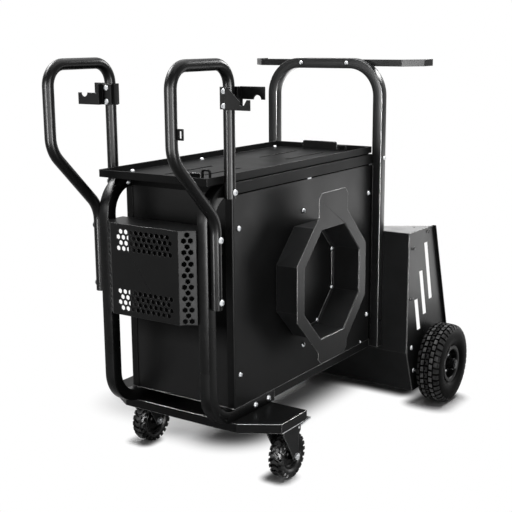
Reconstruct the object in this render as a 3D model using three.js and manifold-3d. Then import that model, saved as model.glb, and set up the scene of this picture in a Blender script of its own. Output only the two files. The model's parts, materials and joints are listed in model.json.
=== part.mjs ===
// Workshop welding cart: a sheet steel cabinet with a tray on top, bent tube frames and handles in front,
// a cable spool on the right side and a bay for gas cylinders behind.
// Millimetres. X runs across the cart, Y from front to back, Z up from the floor.
// Y is counted from the front of the cabinet, and the whole cart is centred at the end.
import * as THREE from 'three';
import { mergeGeometries, mergeVertices } from 'three/addons/utils/BufferGeometryUtils.js';
import Module from 'manifold-3d';

const wasm = await Module();
wasm.setup();

// Seams and sheet
const GAP = 0.3;
const RUNNING_GAP = 0.5;
const SHEET = 2;
const TAU = Math.PI * 2;
const WELD = 1e-4;

// Castors
const CASTOR_WHEEL_R = 62.5;
const CASTOR_TYRE_WIDTH = 42;
const CASTOR_FACETS = 16;
const CASTOR_HUB_R = 38;
const CASTOR_BOSS_R = 12;
const CASTOR_WEB_T = 16;
const CASTOR_TRAIL = 42;
const CASTOR_PLATE_X = 92;
const CASTOR_PLATE_Y = 100;
const CASTOR_PLATE_T = 4;
const CASTOR_X = 232;
const CASTOR_Y = 105;
const RACE_R = 30;
const RACE_HEIGHT = 9;
const FORK_LEG_T = 3.5;
const FORK_CROWN_T = 4;
const FORK_CLEARANCE = 21;
const FORK_TOE = 17;
const FORK_HEEL = 66;
const FORK_EYE_R = 13;
const FORK_EAR = 21;
const CASTOR_AXLE_R = 6;
const CASTOR_NUT_R = 10;
const CASTOR_NUT_H = 7;
const KINGPIN_R = 6;
const PEDAL_PIN_R = 3.5;
const PEDAL_PIN_DROP = 12;
const PEDAL_PIN_BACK = 16;
const PEDAL_LENGTH = 67;
const PEDAL_RISE = 5;
const PEDAL_T = 4;
const SHOE_DROP = 15;

// Castor beam, the shallow box across the front
const BEAM_HEIGHT = 25;
const BEAM_HALF_WIDTH = 281;
const BEAM_FRONT = -13;
const BEAM_DEPTH = 181;
const BEAM_CHAMFER_X = 97;
const BEAM_CHAMFER_Y = 60;
const BEAM_LIP = 40;

// Cabinet
const CABINET_WIDTH = 340;
const CABINET_DEPTH = 718;
const CABINET_HEIGHT = 580.7;
const CHASSIS_FLANGE = 22;
const PANEL_RETURN = 22;
const PANEL_BEND_R = 5;
const SKIRT_HEIGHT = 31;
const SKIRT_PROUD = 2.5;
const SKIRT_STEP = 3;
const SKIRT_STEP_INSET = 9;
const PANEL_JOINT = 3;

// Tray
const TRAY_INSET = 1.5;
const TRAY_OVERHANG = 99;
const TRAY_DEPTH = 19;
const TRAY_SLOT_X = 46;
const TRAY_SLOT_WIDTH = 4;
const TRAY_SLOT_LENGTH = 203;
const TRAY_SLOT_INSET = 110;
const TRAY_SLOT_SETBACK = 80;
const REAR_STOP_WIDTH = 121;
const REAR_STOP_HEIGHT = 26.5;
const REAR_STOP_X = -1;
const FRONT_STOP_WIDTH = 68;
const FRONT_STOP_HEIGHT = 11;
const FRONT_STOP_X = 34;
const FRONT_STOP_Y = 8;
const STOP_FOOT = 12;
const LOOP_WIRE_R = 3.5;
const LOOP_SPAN = 24;
const LOOP_OFFSET = 18.5;
const REAR_LOOP_HEIGHT = 19;
const FRONT_LOOP_HEIGHT = 24;

// Front frame and handles
const TUBE = 30;
const TUBE_WALL = 2.5;
const TUBE_CORNER_R = 3;
const FRAME_REACH = 89;
const FRAME_STUB = 9;
const FRAME_RUN_END = 182;
const HANDLE_R = 14;
const HANDLE_WALL = 2.2;
const HANDLE_FRONT = -245;
const HANDLE_REAR = -29;
const HANDLE_RISE = 280;
const HANDLE_KNEE_DROP = 79;
const HANDLE_LOW_DROP = 296;
const HANDLE_TAIL_DROP = 35;
const HANDLE_SLOPE = 1;
const HANDLE_CORNER_R = 52;
const HANDLE_KNEE_R = 80;
const LUG_WIDTH = 19;
const LUG_HEIGHT = 25;
const LUG_DROP = 145;

// Perforated guard between the frame tubes
const GUARD_FACE_WIDTH = 212;
const GUARD_HEIGHT = 232;
const GUARD_TOP_DROP = 105;
const GUARD_PROJECTION = 30;
const GUARD_WING_DEPTH = 27;
const GUARD_RETURN = 28;
const GUARD_SHELF = 58;
const GUARD_LIP = 14;
const CELL_PITCH = 16.3;
const CELL_R = 6.6;
const CELL_BAND_INSET = 19;
const CELL_BAND_ROWS = 4;

// Cable spool
const SPOOL_Y = 343.5;
const SPOOL_Z = 496;
const SPOOL_DRUM_AF = 302;
const SPOOL_RING_AF = 367.5;
const SPOOL_DEPTH = 83;
const SPOOL_RING_T = 2.5;
const SPOOL_FOOT = 11;
const SPOOL_TOP_TAB = 63;
const SPOOL_BOTTOM_TAB = 34;
const SPOOL_TAB_CHAMFER = 15;

// Rear hoop and cylinder bar
const HOOP_OVERLAP = 0.5;
const HOOP_STRIP = 6;
const HOOP_TOP = 1077;
const HOOP_FOOT = 200;
const HOOP_BEND_R = 96;
const BAR_HEIGHT = 20;
const BAR_T = 5;
const BAR_STRAIGHT = 246;
const BAR_SPLAY = 50;
const BAR_ARM = 57;
const BAR_DROP = 4;

// Cylinder bay
const BAY_WIDTH = 572;
const BAY_TOP = 561;
const BAY_KNEE = 185;
const BAY_FLOOR = 50;
const BAY_KNEE_SETBACK = 48;
const BAY_TOP_DEPTH = 171;
const BAY_FLOOR_DEPTH = 329;
const BAY_FLANGE = 9;
const VENT_WIDTH = 25;
const VENT_SLANT = 0.25;
const VENT_SETBACK = 105;
const VENT_STEP = 30;
const VENT_TOP_DROP = 46;
const VENT_TOP_STEP = 85;
const VENT_BOTTOM_DROP = 235;
const VENT_BOTTOM_STEP = 41.5;
const GUSSET_REACH = 244;
const GUSSET_DEPTH = 150;
const GUSSET_HOLE_R = 4;
const GUSSET_HOLE_INSET = 32;

// Rear wheels
const WHEEL_R = 125;
const WHEEL_WIDTH = 79;
const WHEEL_FACETS = 20;
const WHEEL_RIM_R = 58;
const WHEEL_BEAD_R = 49;
const WHEEL_DISC_T = 8;
const RIM_T = 3;
const RIM_INSET = 6.5;
const WHEEL_SETBACK = 155;
const WHEEL_CLEARANCE = 11;
const SPINDLE_R = 10;
const SPINDLE_FLANGE_R = 32;
const SPINDLE_FLANGE_T = 5;
const HUB_R = 17;
const HUB_INSET = 3.5;
const AXLE_NUT_R = 16;
const AXLE_NUT_H = 9;
const GROOVE_WIDTH = 8;
const GROOVE_DEPTH = 6;

// Torch hooks
const HOOK_T = 3;
const HOOK_HEIGHT = 52;
const HOOK_TOP_DROP = 52;
const HOOK_STEP = 15;
const HOOK_REACH = 81;
const HOOK_ARM = 30;
const HOOK_NOTCH_R = 10.5;
const HOOK_PRONG = 9;
const HOOK_PRONG_HEIGHT = 24.5;
const HOOK_PRONG_SLOPE = 8;
const HOOK_FLOOR = 11;
const HOOK_FLOOR_HEIGHT = 11.6;
const HOOK_WING = 18;

// Bolt heads
const BOLT_R = 8.5;
const BOLT_H = 5;
const RUN_BOLT_FRONT = 92;
const RUN_BOLT_REAR = 153;
const HANDLE_TOP_BOLT_DROP = 20.5;
const HANDLE_MID_BOLT_DROP = 126;
const HANDLE_LOW_BOLT_DROP = 277;

// Levels and planes that follow from the driving sizes
const cabinetHalf = CABINET_WIDTH / 2;
const forkTop = CASTOR_WHEEL_R * 2 + FORK_CLEARANCE + FORK_CROWN_T;
const castorPlateZ = forkTop + RUNNING_GAP + RACE_HEIGHT;
const castorTop = castorPlateZ + CASTOR_PLATE_T;
const beamZ = castorTop + GAP;
const beamTop = beamZ + BEAM_HEIGHT;
const lowRunZ = beamTop + GAP + TUBE / 2;
const chassisZ = lowRunZ + TUBE / 2 + GAP;
const cabinetTop = chassisZ + CABINET_HEIGHT;
const trayZ = cabinetTop + GAP;
const trayFloorTop = trayZ + SHEET;
const trayRear = CABINET_DEPTH + SKIRT_PROUD;
const highRunZ = trayZ - GAP - TUBE / 2;
const frameX = cabinetHalf - TUBE / 2;
const handleX = cabinetHalf + GAP + HANDLE_R;
const trayHalf = cabinetHalf - TRAY_INSET;
const handleTop = trayZ + HANDLE_RISE;
const hoopFront = CABINET_DEPTH + SKIRT_PROUD + GAP;
const hoopY = hoopFront + TUBE / 2;
const wallY = hoopFront + TUBE + GAP;
const hoopInner = cabinetHalf - HOOP_OVERLAP;
const bayHalf = BAY_WIDTH / 2;
const wheelX = bayHalf + WHEEL_CLEARANCE + WHEEL_WIDTH / 2;
const wheelY = wallY + WHEEL_SETBACK;

// Materials
const paint = (hex) => new THREE.MeshStandardMaterial({ color: hex, roughness: 0.45, metalness: 0.3 });
const blackPaint = paint(0x1b1c1e);
const softBlackPaint = paint(0x232427);
const zinc = new THREE.MeshStandardMaterial({ color: 0xc4c7ca, roughness: 0.3, metalness: 0.9 });
const rubber = new THREE.MeshStandardMaterial({ color: 0x161616, roughness: 0.85, metalness: 0 });

const cart = new THREE.Group();
const names = { '-1': 'left', 1: 'right' };

function addMesh(name, geometry, material) {
  const mesh = new THREE.Mesh(geometry, material);
  mesh.name = name;
  cart.add(mesh);
}

// Solids and booleans
function toSolid(geometry) {
  const bare = geometry.clone();
  bare.deleteAttribute('normal');
  bare.deleteAttribute('uv');
  const welded = mergeVertices(bare, WELD);
  const corners = Array.from(welded.index.array);
  const triangles = [];
  for (let i = 0; i < corners.length; i += 3) {
    const triangle = corners.slice(i, i + 3);
    if (new Set(triangle).size === 3) triangles.push(...triangle);
  }
  return new wasm.Manifold(new wasm.Mesh({
    numProp: 3,
    vertProperties: new Float32Array(welded.attributes.position.array),
    triVerts: new Uint32Array(triangles),
  }));
}

function toGeometry(solid) {
  const mesh = solid.getMesh();
  const geometry = new THREE.BufferGeometry();
  geometry.setAttribute('position', new THREE.BufferAttribute(new Float32Array(mesh.vertProperties), 3));
  geometry.setIndex(new THREE.BufferAttribute(new Uint32Array(mesh.triVerts), 1));
  geometry.computeVertexNormals();
  return geometry;
}

function join(...geometries) {
  return toGeometry(geometries.map(toSolid).reduce((a, b) => a.add(b)));
}

function cut(body, ...tools) {
  return toGeometry(tools.map(toSolid).reduce((a, b) => a.subtract(b), toSolid(body)));
}

// Primitive forms
function block(x0, x1, y0, y1, z0, z1) {
  const geometry = new THREE.BoxGeometry(x1 - x0, y1 - y0, z1 - z0);
  return geometry.translate((x0 + x1) / 2, (y0 + y1) / 2, (z0 + z1) / 2);
}

function polygon(points) {
  return new THREE.Shape(points.map(([a, b]) => new THREE.Vector2(a, b)));
}

function withHoles(shape, holes) {
  shape.holes.push(...holes);
  return shape;
}

const AXIS_X = new THREE.Vector3(1, 0, 0);
const AXIS_Y = new THREE.Vector3(0, 1, 0);
const AXIS_Z = new THREE.Vector3(0, 0, 1);

// A shape drawn in (y, z) and pushed along X from x0 to x1
function extrudeX(shape, x0, x1, curveSegments = 6) {
  const geometry = new THREE.ExtrudeGeometry(shape, { depth: x1 - x0, bevelEnabled: false, curveSegments });
  return geometry.applyMatrix4(new THREE.Matrix4().makeBasis(AXIS_Y, AXIS_Z, AXIS_X)).translate(x0, 0, 0);
}

// A shape drawn in (x, z) and pushed along Y from y0 to y1
function extrudeY(shape, y0, y1, curveSegments = 6) {
  const geometry = new THREE.ExtrudeGeometry(shape, { depth: y1 - y0, bevelEnabled: false, curveSegments });
  const basis = new THREE.Matrix4().makeBasis(AXIS_X, AXIS_Z, AXIS_Y.clone().negate());
  return geometry.applyMatrix4(basis).translate(0, y1, 0);
}

// A shape drawn in (x, y) and pushed along Z from z0 to z1
function extrudeZ(shape, z0, z1, curveSegments = 6) {
  const geometry = new THREE.ExtrudeGeometry(shape, { depth: z1 - z0, bevelEnabled: false, curveSegments });
  return geometry.translate(0, 0, z0);
}

// A closed profile of (radius, along) points turned about the X axis
function turnX(profile, segments) {
  const points = profile.map(([r, along]) => new THREE.Vector2(r, along));
  return new THREE.LatheGeometry(points, segments).rotateZ(-Math.PI / 2);
}

// The same about the Z axis
function turnZ(profile, segments) {
  const points = profile.map(([r, along]) => new THREE.Vector2(r, along));
  return new THREE.LatheGeometry(points, segments).rotateX(Math.PI / 2);
}

const closed = (profile) => [...profile, profile[0]];
const mirrored = (half) => [...half, ...half.map(([r, along]) => [r, -along]).reverse()];

// Folded sheet: a run of (a, b) points along one face, thickened to its left
function foldedSheet(points, thickness) {
  const inner = points.map(([a, b], i) => {
    const before = points[Math.max(i - 1, 0)];
    const after = points[Math.min(i + 1, points.length - 1)];
    const into = new THREE.Vector2(a - before[0], b - before[1]);
    const out = new THREE.Vector2(after[0] - a, after[1] - b);
    if (i === 0) into.copy(out);
    if (i === points.length - 1) out.copy(into);
    into.normalize();
    out.normalize();
    const mid = into.clone().add(out).normalize();
    const reach = thickness / mid.dot(out);
    return [a - mid.y * reach, b + mid.x * reach];
  });
  return polygon([...points, ...inner.reverse()]);
}

// A route of straight runs and round bends, with stations only where the section turns
class Route extends THREE.Curve {
  constructor(stations) {
    super();
    this.stations = stations;
  }

  station(u) {
    return this.stations[Math.round(u * (this.stations.length - 1))];
  }

  getPointAt(u, target = new THREE.Vector3()) {
    return target.copy(this.station(u).point);
  }

  getTangentAt(u, target = new THREE.Vector3()) {
    return target.copy(this.station(u).tangent);
  }
}

// Each inner corner is an (x, y, z, bend radius) row
function bentRoute(corners, bendSteps) {
  const points = corners.map(([x, y, z]) => new THREE.Vector3(x, y, z));
  const stations = [];
  points.forEach((point, i) => {
    const into = i > 0 ? point.clone().sub(points[i - 1]).normalize() : null;
    const out = i < points.length - 1 ? points[i + 1].clone().sub(point).normalize() : null;
    if (!into || !out) {
      stations.push({ point, tangent: into ?? out });
      return;
    }
    const bendRadius = corners[i][3];
    const turn = into.angleTo(out);
    const setback = bendRadius * Math.tan(turn / 2);
    const start = point.clone().addScaledVector(into, -setback);
    const inward = out.clone().addScaledVector(into, -into.dot(out)).normalize();
    for (let k = 0; k <= bendSteps; k += 1) {
      const angle = (turn * k) / bendSteps;
      stations.push({
        point: start.clone()
          .addScaledVector(into, bendRadius * Math.sin(angle))
          .addScaledVector(inward, bendRadius * (1 - Math.cos(angle))),
        tangent: into.clone().multiplyScalar(Math.cos(angle)).addScaledVector(inward, Math.sin(angle)),
      });
    }
  });
  return new Route(stations);
}

function sweep(section, route, curveSegments) {
  return new THREE.ExtrudeGeometry(section, {
    steps: route.stations.length - 1,
    extrudePath: route,
    curveSegments,
  });
}

function circle(radius) {
  return new THREE.Shape().absarc(0, 0, radius, 0, TAU, false);
}

// A hole that clears a pin of the given radius, also across its flats
function bore(a, b, radius, curveSegments) {
  return new THREE.Path().absarc(a, b, radius / Math.cos(Math.PI / curveSegments / 2), 0, TAU, false);
}

function roundedSquare(size, radius) {
  const h = size / 2;
  return new THREE.Shape()
    .moveTo(-h + radius, -h)
    .lineTo(h - radius, -h)
    .absarc(h - radius, -h + radius, radius, -Math.PI / 2, 0, false)
    .lineTo(h, h - radius)
    .absarc(h - radius, h - radius, radius, 0, Math.PI / 2, false)
    .lineTo(-h + radius, h)
    .absarc(-h + radius, h - radius, radius, Math.PI / 2, Math.PI, false)
    .lineTo(-h, -h + radius)
    .absarc(-h + radius, -h + radius, radius, Math.PI, Math.PI * 1.5, false);
}

function squarePipeSection() {
  const h = TUBE / 2 - TUBE_WALL;
  return withHoles(roundedSquare(TUBE, TUBE_CORNER_R), [polygon([[-h, -h], [-h, h], [h, h], [h, -h]])]);
}

// Button head of a bolt that faces out to one side
function boltHead(at, side) {
  const profile = [[0, 0], [BOLT_R, 0], [BOLT_R, BOLT_H * 0.25], [BOLT_R * 0.72, BOLT_H * 0.8], [0, BOLT_H]];
  const dome = turnX(profile, 8);
  if (side < 0) dome.rotateZ(Math.PI);
  return dome.translate(...at);
}

// Castor beam: a shallow box with cut front corners, open underneath inside a turned-in lip
function beamOutline(inset) {
  const diagonal = Math.hypot(BEAM_CHAMFER_X, BEAM_CHAMFER_Y);
  const front = BEAM_FRONT + inset;
  const rear = BEAM_FRONT + BEAM_DEPTH - inset;
  const side = BEAM_HALF_WIDTH - inset;
  const nose = BEAM_HALF_WIDTH - BEAM_CHAMFER_X - (inset * (diagonal - BEAM_CHAMFER_X)) / BEAM_CHAMFER_Y;
  const shoulder = BEAM_FRONT + BEAM_CHAMFER_Y + (inset * (diagonal - BEAM_CHAMFER_Y)) / BEAM_CHAMFER_X;
  return polygon([
    [-nose, front], [nose, front], [side, shoulder], [side, rear], [-side, rear], [-side, shoulder],
  ]);
}

addMesh('castor_beam', cut(
  extrudeZ(beamOutline(0), beamZ, beamTop),
  extrudeZ(beamOutline(SHEET), beamZ + SHEET, beamTop - SHEET),
  extrudeZ(beamOutline(BEAM_LIP), beamZ - SHEET, beamZ + SHEET * 2),
), blackPaint);

// Chassis: a floor pan with a tongue between the legs of the hoop.
// Its side flanges hang behind the ends of the frame tubes.
const floorTop = chassisZ + SHEET;
const chassisFloor = block(-cabinetHalf, cabinetHalf, 0, CABINET_DEPTH, chassisZ, floorTop);
const chassisTongue = block(
  -hoopInner + GAP, hoopInner - GAP, CABINET_DEPTH - SHEET, wallY - GAP, chassisZ, floorTop,
);
const chassisFlange = (side) => block(
  Math.min(side * cabinetHalf, side * (cabinetHalf - SHEET)),
  Math.max(side * cabinetHalf, side * (cabinetHalf - SHEET)),
  FRAME_RUN_END + GAP, CABINET_DEPTH, chassisZ - CHASSIS_FLANGE, floorTop,
);
addMesh('chassis_pan', join(chassisFloor, chassisTongue, chassisFlange(-1), chassisFlange(1)), blackPaint);
const panelZ = floorTop + GAP;

// Side panels with rounded corners and returns along the front and rear edges.
// They end at an open joint under the skirt.
const sideTop = cabinetTop - SKIRT_HEIGHT - PANEL_JOINT;
function panelSection(side) {
  const shape = new THREE.Shape();
  const inner = PANEL_BEND_R - SHEET;
  const reach = cabinetHalf - PANEL_RETURN;
  const bendX = cabinetHalf - PANEL_BEND_R;
  shape.moveTo(side * reach, 0);
  shape.lineTo(side * bendX, 0);
  shape.quadraticCurveTo(side * cabinetHalf, 0, side * cabinetHalf, PANEL_BEND_R);
  shape.lineTo(side * cabinetHalf, CABINET_DEPTH - PANEL_BEND_R);
  shape.quadraticCurveTo(side * cabinetHalf, CABINET_DEPTH, side * bendX, CABINET_DEPTH);
  shape.lineTo(side * reach, CABINET_DEPTH);
  shape.lineTo(side * reach, CABINET_DEPTH - SHEET);
  shape.lineTo(side * (cabinetHalf - SHEET - inner), CABINET_DEPTH - SHEET);
  shape.lineTo(side * (cabinetHalf - SHEET), CABINET_DEPTH - SHEET - inner);
  shape.lineTo(side * (cabinetHalf - SHEET), SHEET + inner);
  shape.lineTo(side * (cabinetHalf - SHEET - inner), SHEET);
  shape.lineTo(side * reach, SHEET);
  return shape;
}
for (const side of [-1, 1]) {
  addMesh(`side_panel_${names[side]}`, extrudeZ(panelSection(side), panelZ, sideTop, 3), softBlackPaint);
}

// Front and rear panels stand behind the returns of the side panels and carry the skirt
const panelTop = cabinetTop - SKIRT_STEP - SHEET - GAP;
const infillHalf = cabinetHalf - PANEL_BEND_R - SHEET;
addMesh('front_panel', block(
  -infillHalf, infillHalf, SHEET + GAP, SHEET * 2 + GAP, panelZ, panelTop,
), blackPaint);
addMesh('rear_panel', block(
  -infillHalf, infillHalf, CABINET_DEPTH - SHEET * 2 - GAP, CABINET_DEPTH - SHEET - GAP, panelZ, panelTop,
), blackPaint);

// Top skirt: a shallow lid that stands proud of the panels, with a step round its top to seat the tray
function lid(inset, bottom, top) {
  return block(
    -cabinetHalf - SKIRT_PROUD + inset, cabinetHalf + SKIRT_PROUD - inset,
    -SKIRT_PROUD + inset, trayRear - inset, bottom, top,
  );
}
const skirtBottom = cabinetTop - SKIRT_HEIGHT;
const stepZ = cabinetTop - SKIRT_STEP;
addMesh('top_skirt', cut(
  join(lid(0, skirtBottom, stepZ), lid(SKIRT_STEP_INSET, skirtBottom, cabinetTop)),
  lid(SHEET, skirtBottom - SHEET, stepZ - SHEET),
  lid(SKIRT_STEP_INSET + SHEET, skirtBottom, cabinetTop - SHEET),
), softBlackPaint);

// Tray with a raised rim and long slots in its floor
const slotFronts = [
  -TRAY_OVERHANG + TRAY_SLOT_INSET,
  trayRear - TRAY_SLOT_SETBACK - TRAY_SLOT_LENGTH,
];
const traySlots = [-1, 1].flatMap((side) => slotFronts.map((y) => block(
  side * TRAY_SLOT_X - TRAY_SLOT_WIDTH / 2, side * TRAY_SLOT_X + TRAY_SLOT_WIDTH / 2, y, y + TRAY_SLOT_LENGTH,
  trayZ - SHEET, trayFloorTop + SHEET,
)));
addMesh('top_tray', cut(
  block(-trayHalf, trayHalf, -TRAY_OVERHANG, trayRear, trayZ, trayZ + TRAY_DEPTH),
  block(
    -trayHalf + SHEET, trayHalf - SHEET, -TRAY_OVERHANG + SHEET, trayRear - SHEET,
    trayFloorTop, trayZ + TRAY_DEPTH + SHEET,
  ),
  ...traySlots,
), softBlackPaint);

// Stops on the tray floor: folded plates that keep a machine from sliding
const stopZ = trayFloorTop + GAP;
function stopPlate(x, width, height, y) {
  const corner = height * 0.25;
  const upright = new THREE.Shape()
    .moveTo(x - width / 2, stopZ)
    .lineTo(x + width / 2, stopZ)
    .lineTo(x + width / 2, stopZ + height - corner)
    .quadraticCurveTo(x + width / 2, stopZ + height, x + width / 2 - corner, stopZ + height)
    .lineTo(x - width / 2 + corner, stopZ + height)
    .quadraticCurveTo(x - width / 2, stopZ + height, x - width / 2, stopZ + height - corner);
  const foot = block(x - width / 2, x + width / 2, y, y + STOP_FOOT, stopZ, stopZ + SHEET);
  return join(extrudeY(upright, y - SHEET / 2, y + SHEET / 2, 3), foot);
}
const rearStopY = trayRear - SHEET - GAP - STOP_FOOT - SHEET;
addMesh('tray_stop_rear', stopPlate(
  REAR_STOP_X, REAR_STOP_WIDTH, REAR_STOP_HEIGHT, rearStopY,
), softBlackPaint);
addMesh('tray_stop_front', stopPlate(
  FRONT_STOP_X, FRONT_STOP_WIDTH, FRONT_STOP_HEIGHT, FRONT_STOP_Y,
), blackPaint);

// Wire loops beside the stops for a lashing strap
function wireLoop(x, y, height) {
  const top = stopZ + height - LOOP_WIRE_R;
  const left = x - LOOP_SPAN / 2;
  const right = x + LOOP_SPAN / 2;
  const bend = LOOP_WIRE_R * 2;
  const route = bentRoute([
    [left, y, stopZ], [left, y, top, bend], [right, y, top, bend], [right, y, stopZ],
  ], 3);
  return sweep(circle(LOOP_WIRE_R), route, 3);
}
addMesh('tie_loop_rear', wireLoop(
  REAR_STOP_X + REAR_STOP_WIDTH / 2 + LOOP_OFFSET, rearStopY, REAR_LOOP_HEIGHT,
), blackPaint);
addMesh('tie_loop_front', wireLoop(
  FRONT_STOP_X + FRONT_STOP_WIDTH / 2 + LOOP_OFFSET, FRONT_STOP_Y, FRONT_LOOP_HEIGHT,
), blackPaint);

// Front frame: one square tube a side, from under the tray down and back under the cabinet
const frameBend = FRAME_REACH - FRAME_STUB;
for (const side of [-1, 1]) {
  const x = side * frameX;
  const route = bentRoute([
    [x, FRAME_RUN_END, lowRunZ], [x, -FRAME_REACH, lowRunZ, frameBend],
    [x, -FRAME_REACH, highRunZ, frameBend], [x, -SKIRT_PROUD - GAP, highRunZ],
  ], 6);
  addMesh(`frame_tube_${names[side]}`, sweep(squarePipeSection(), route, 1), blackPaint);
}

// Handles: round tube loops bolted to the outer sides of the frame tubes
const kneeZ = trayZ - HANDLE_KNEE_DROP;
const shoulderZ = kneeZ + (-FRAME_REACH - HANDLE_FRONT) * HANDLE_SLOPE;
const handleBore = Array.from({ length: 6 }, (_, k) => [
  (HANDLE_R - HANDLE_WALL) * Math.cos((k * TAU) / 6), (HANDLE_R - HANDLE_WALL) * Math.sin((k * TAU) / 6),
]);
const handleSection = withHoles(circle(HANDLE_R), [polygon(handleBore)]);
for (const side of [-1, 1]) {
  const x = side * handleX;
  const route = bentRoute([
    [x, -FRAME_REACH, trayZ - HANDLE_LOW_DROP], [x, -FRAME_REACH, kneeZ, HANDLE_KNEE_R],
    [x, HANDLE_FRONT, shoulderZ, HANDLE_KNEE_R], [x, HANDLE_FRONT, handleTop, HANDLE_CORNER_R],
    [x, HANDLE_REAR, handleTop, HANDLE_CORNER_R], [x, HANDLE_REAR, trayZ - HANDLE_TAIL_DROP],
  ], 4);
  addMesh(`handle_${names[side]}`, sweep(handleSection, route, 6), softBlackPaint);
}

// Slotted lug on the front leg of the right handle
const lugX = handleX + HANDLE_R + GAP;
const lugZ = handleTop - LUG_DROP;
const lugSlot = new THREE.Path()
  .moveTo(lugX + LUG_WIDTH * 0.45, lugZ - LUG_HEIGHT * 0.32)
  .lineTo(lugX + LUG_WIDTH * 0.45, lugZ + LUG_HEIGHT * 0.32)
  .lineTo(lugX + LUG_WIDTH * 0.75, lugZ + LUG_HEIGHT * 0.32)
  .lineTo(lugX + LUG_WIDTH * 0.75, lugZ - LUG_HEIGHT * 0.32);
addMesh('handle_lug', extrudeY(withHoles(polygon([
  [lugX, lugZ - LUG_HEIGHT / 2], [lugX + LUG_WIDTH, lugZ - LUG_HEIGHT / 2],
  [lugX + LUG_WIDTH, lugZ + LUG_HEIGHT / 2], [lugX, lugZ + LUG_HEIGHT / 2],
]), [lugSlot]), HANDLE_FRONT - HOOK_T / 2, HANDLE_FRONT + HOOK_T / 2), blackPaint);

// Guard: a face and two splayed wings of honeycomb sheet, closed above and with a lip below
const guardTop = trayZ - GUARD_TOP_DROP;
const guardBottom = guardTop - GUARD_HEIGHT;
const guardFaceY = -FRAME_REACH - TUBE / 2 - GUARD_PROJECTION;
const guardSideX = frameX - TUBE / 2 - GAP;
const guardWingY = guardFaceY + GUARD_WING_DEPTH;
const guardFold = GUARD_FACE_WIDTH / 2;
const guardOuter = [
  [-guardSideX, guardWingY + GUARD_RETURN], [-guardSideX, guardWingY], [-guardFold, guardFaceY],
  [guardFold, guardFaceY], [guardSideX, guardWingY], [guardSideX, guardWingY + GUARD_RETURN],
];
const guardLid = polygon([
  [-guardSideX, guardWingY + GUARD_SHELF], ...guardOuter.slice(1, 5), [guardSideX, guardWingY + GUARD_SHELF],
]);
const rowPitch = CELL_PITCH * Math.sin(Math.PI / 3);
function cell(x, y, z, turn) {
  return new THREE.CylinderGeometry(CELL_R, CELL_R, SHEET * 6, 6).rotateZ(turn).translate(x, y, z);
}
const columns = Math.floor((GUARD_FACE_WIDTH - CELL_PITCH * 2) / CELL_PITCH);
function faceBand(topRowZ, firstRow) {
  return Array.from({ length: CELL_BAND_ROWS }, (_, row) => {
    const count = columns - ((row + firstRow) % 2);
    return Array.from({ length: count }, (__, i) => (
      cell((i - (count - 1) / 2) * CELL_PITCH, guardFaceY, topRowZ - row * rowPitch, 0)
    ));
  }).flat();
}
const wingRows = Math.floor((GUARD_HEIGHT - CELL_R * 2 - SHEET * 2) / rowPitch) + 1;
function wingCells(side) {
  const run = new THREE.Vector2(guardSideX - guardFold, guardWingY - guardFaceY);
  const turn = side * run.angle();
  const middle = [(guardSideX + guardFold) / 2, (guardWingY + guardFaceY) / 2];
  run.normalize();
  return Array.from({ length: wingRows }, (_, row) => {
    const z = (guardTop + guardBottom) / 2 + ((wingRows - 1) / 2 - row) * rowPitch;
    const steps = row % 2 === 0 ? [0] : [-0.5, 0.5];
    return steps.map((step) => cell(
      side * (middle[0] + run.x * step * CELL_PITCH), middle[1] + run.y * step * CELL_PITCH, z, turn,
    ));
  }).flat();
}
const cells = mergeGeometries([
  ...faceBand(guardTop - CELL_BAND_INSET, 1),
  ...faceBand(guardBottom + CELL_BAND_INSET + rowPitch * (CELL_BAND_ROWS - 1), 0),
  ...wingCells(-1),
  ...wingCells(1),
]);
const guardSkin = cut(extrudeZ(foldedSheet(guardOuter, SHEET), guardBottom, guardTop), cells);
addMesh('guard', join(
  guardSkin,
  extrudeZ(guardLid, guardTop - SHEET, guardTop),
  block(-guardFold, guardFold, guardFaceY, guardFaceY + GUARD_LIP, guardBottom, guardBottom + SHEET),
), softBlackPaint);

// Cable spool on the right panel: an octagonal drum with a turned-in foot, and a flat ring.
// The ring has a keeper tab above and below.
function octagon(acrossFlats) {
  const r = acrossFlats / 2 / Math.cos(Math.PI / 8);
  return Array.from({ length: 8 }, (_, k) => {
    const angle = Math.PI / 8 + (k * Math.PI) / 4;
    return [SPOOL_Y + r * Math.cos(angle), SPOOL_Z + r * Math.sin(angle)];
  });
}
const spoolX = cabinetHalf + GAP;
const ringX = spoolX + SPOOL_DEPTH + GAP;
const drumBore = SPOOL_DRUM_AF - SHEET * 2;
const octagonRing = (outer, inner) => withHoles(polygon(octagon(outer)), [polygon(octagon(inner))]);
addMesh('spool_drum', join(
  extrudeX(octagonRing(SPOOL_DRUM_AF, drumBore), spoolX, spoolX + SPOOL_DEPTH),
  extrudeX(octagonRing(SPOOL_DRUM_AF, drumBore - SPOOL_FOOT * 2), spoolX, spoolX + SHEET),
), blackPaint);
function ringOutline() {
  const outer = octagon(SPOOL_RING_AF);
  const top = SPOOL_Z + SPOOL_RING_AF / 2 + SPOOL_TOP_TAB;
  const bottom = SPOOL_Z - SPOOL_RING_AF / 2 - SPOOL_BOTTOM_TAB;
  const c = SPOOL_TAB_CHAMFER;
  return polygon([
    outer[0], outer[1], [outer[1][0], top - c], [outer[1][0] - c, top],
    [outer[2][0] + c, top], [outer[2][0], top - c],
    outer[2], outer[3], outer[4], outer[5], [outer[5][0], bottom + c], [outer[5][0] + c, bottom],
    [outer[6][0] - c, bottom], [outer[6][0], bottom + c], outer[6], outer[7],
  ]);
}
addMesh('spool_ring', extrudeX(
  withHoles(ringOutline(), [polygon(octagon(drumBore))]), ringX, ringX + SPOOL_RING_T,
), softBlackPaint);

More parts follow.
